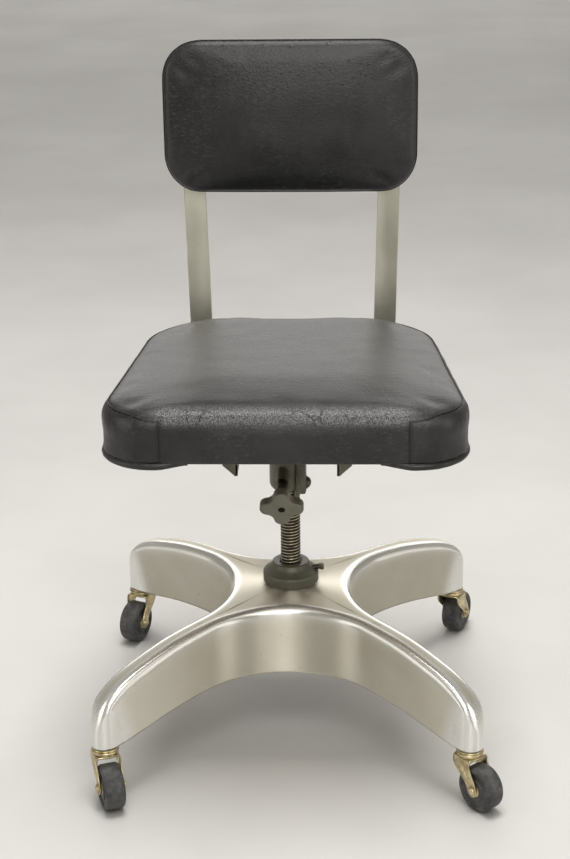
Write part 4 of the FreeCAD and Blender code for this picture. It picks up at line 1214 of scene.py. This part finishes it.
def lights():
    world = bpy.data.worlds.new("room")
    world.use_nodes = True
    world.node_tree.nodes["Background"].inputs["Color"].default_value = (0.92, 0.89, 0.83, 1.0)
    world.node_tree.nodes["Background"].inputs["Strength"].default_value = 0.38
    bpy.context.scene.world = world
    lamp("ceiling", (0.1, 0.0, 3.2), (0, 0.0, 0.3), (1.5, 1.2), 84)
    lamp("far_ceiling", (0, 8.0, 4.0), (0, 8.0, 0), (9.0, 4.0), 120)
    lamp("front_ceiling", (0.2, -2.2, 3.4), (0, -0.9, 0), (2.4, 1.6), 26)
    lamp("back_wall", (0.2, 3.0, 1.6), (0, 0, 0.5), (4.0, 1.6), 36, mirrored=True)
    lamp("tube", (-0.1, 0.0, 3.1), (0, 0, 0.2), (2.8, 0.45), 34, mirrored=True)
    lamp("front_high", (0.5, -3.2, 2.7), (0, 0, 0.8), (2.8, 0.9), 40, mirrored=True)
    lamp("front_sheen", (0.5, -3.2, 1.9), (0, 0, 0.8), (2.4, 0.9), 13, mirrored=True)
    for name, x, y, width, power in (("side_left", -2.7, -1.3, 1.1, 13),
                                     ("strip_middle", 0.02, -3.3, 0.10, 3),
                                     ("strip_inner", 0.42, -3.3, 0.05, 2),
                                     ("side_right", 2.7, -1.3, 1.1, 13)):
        lamp(name, (x, y, 0.9), (0.1 * x, 0, 0.15), (width, 1.8), power, mirrored=True)


def camera():
    """80 mm lens at standing height, looking down at the chair's front."""
    heading, pitch, roll = (math.radians(angle) for angle in (2.028, 21.129, -0.712))
    level = Vector((-math.sin(heading), math.cos(heading), 0))
    right = Vector((math.cos(heading), math.sin(heading), 0))
    look = level * math.cos(pitch) - UP * math.sin(pitch)
    over = right.cross(look)
    turned_right = right * math.cos(roll) + over * math.sin(roll)
    turned_over = over * math.cos(roll) - right * math.sin(roll)
    data = bpy.data.cameras.new("camera")
    data.lens = 80.0
    data.sensor_width = 36.0
    made = placed("camera", data)
    turn = Matrix((turned_right, turned_over, -look)).transposed().to_4x4()
    made.matrix_world = Matrix.Translation((74.5 * MM, -2257.1 * MM, 1275.6 * MM)) @ turn
    bpy.context.scene.camera = made


def dress_nodes():
    """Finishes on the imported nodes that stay."""
    for part in frame["record"]["subparts"]:
        node = frame["nodes"][part["node"]]
        node.data.materials.clear()
        node.data.materials.append(FINISHES[part["material_slot"]])


def main():
    camera()
    dress_nodes()
    star_base()
    casting_bosses()
    for corner in CORNERS:
        caster_tyre(corner)
        wheel_bush(corner)
        caster_fork(corner)
        caster_cap(corner)
        axle_rivet(corner)
    lift_screw()
    hub_collar()
    collar_screw()
    control()
    clamp_screw()
    lock_bolt()
    knob()
    for side in (-1, 1):
        plate(side)
        back_bar(side)
    seat_cushion()
    seat_piping()
    back_cushion()
    back_panel()
    floor()
    lights()
    bpy.context.scene.view_settings.view_transform = "Standard"


main()
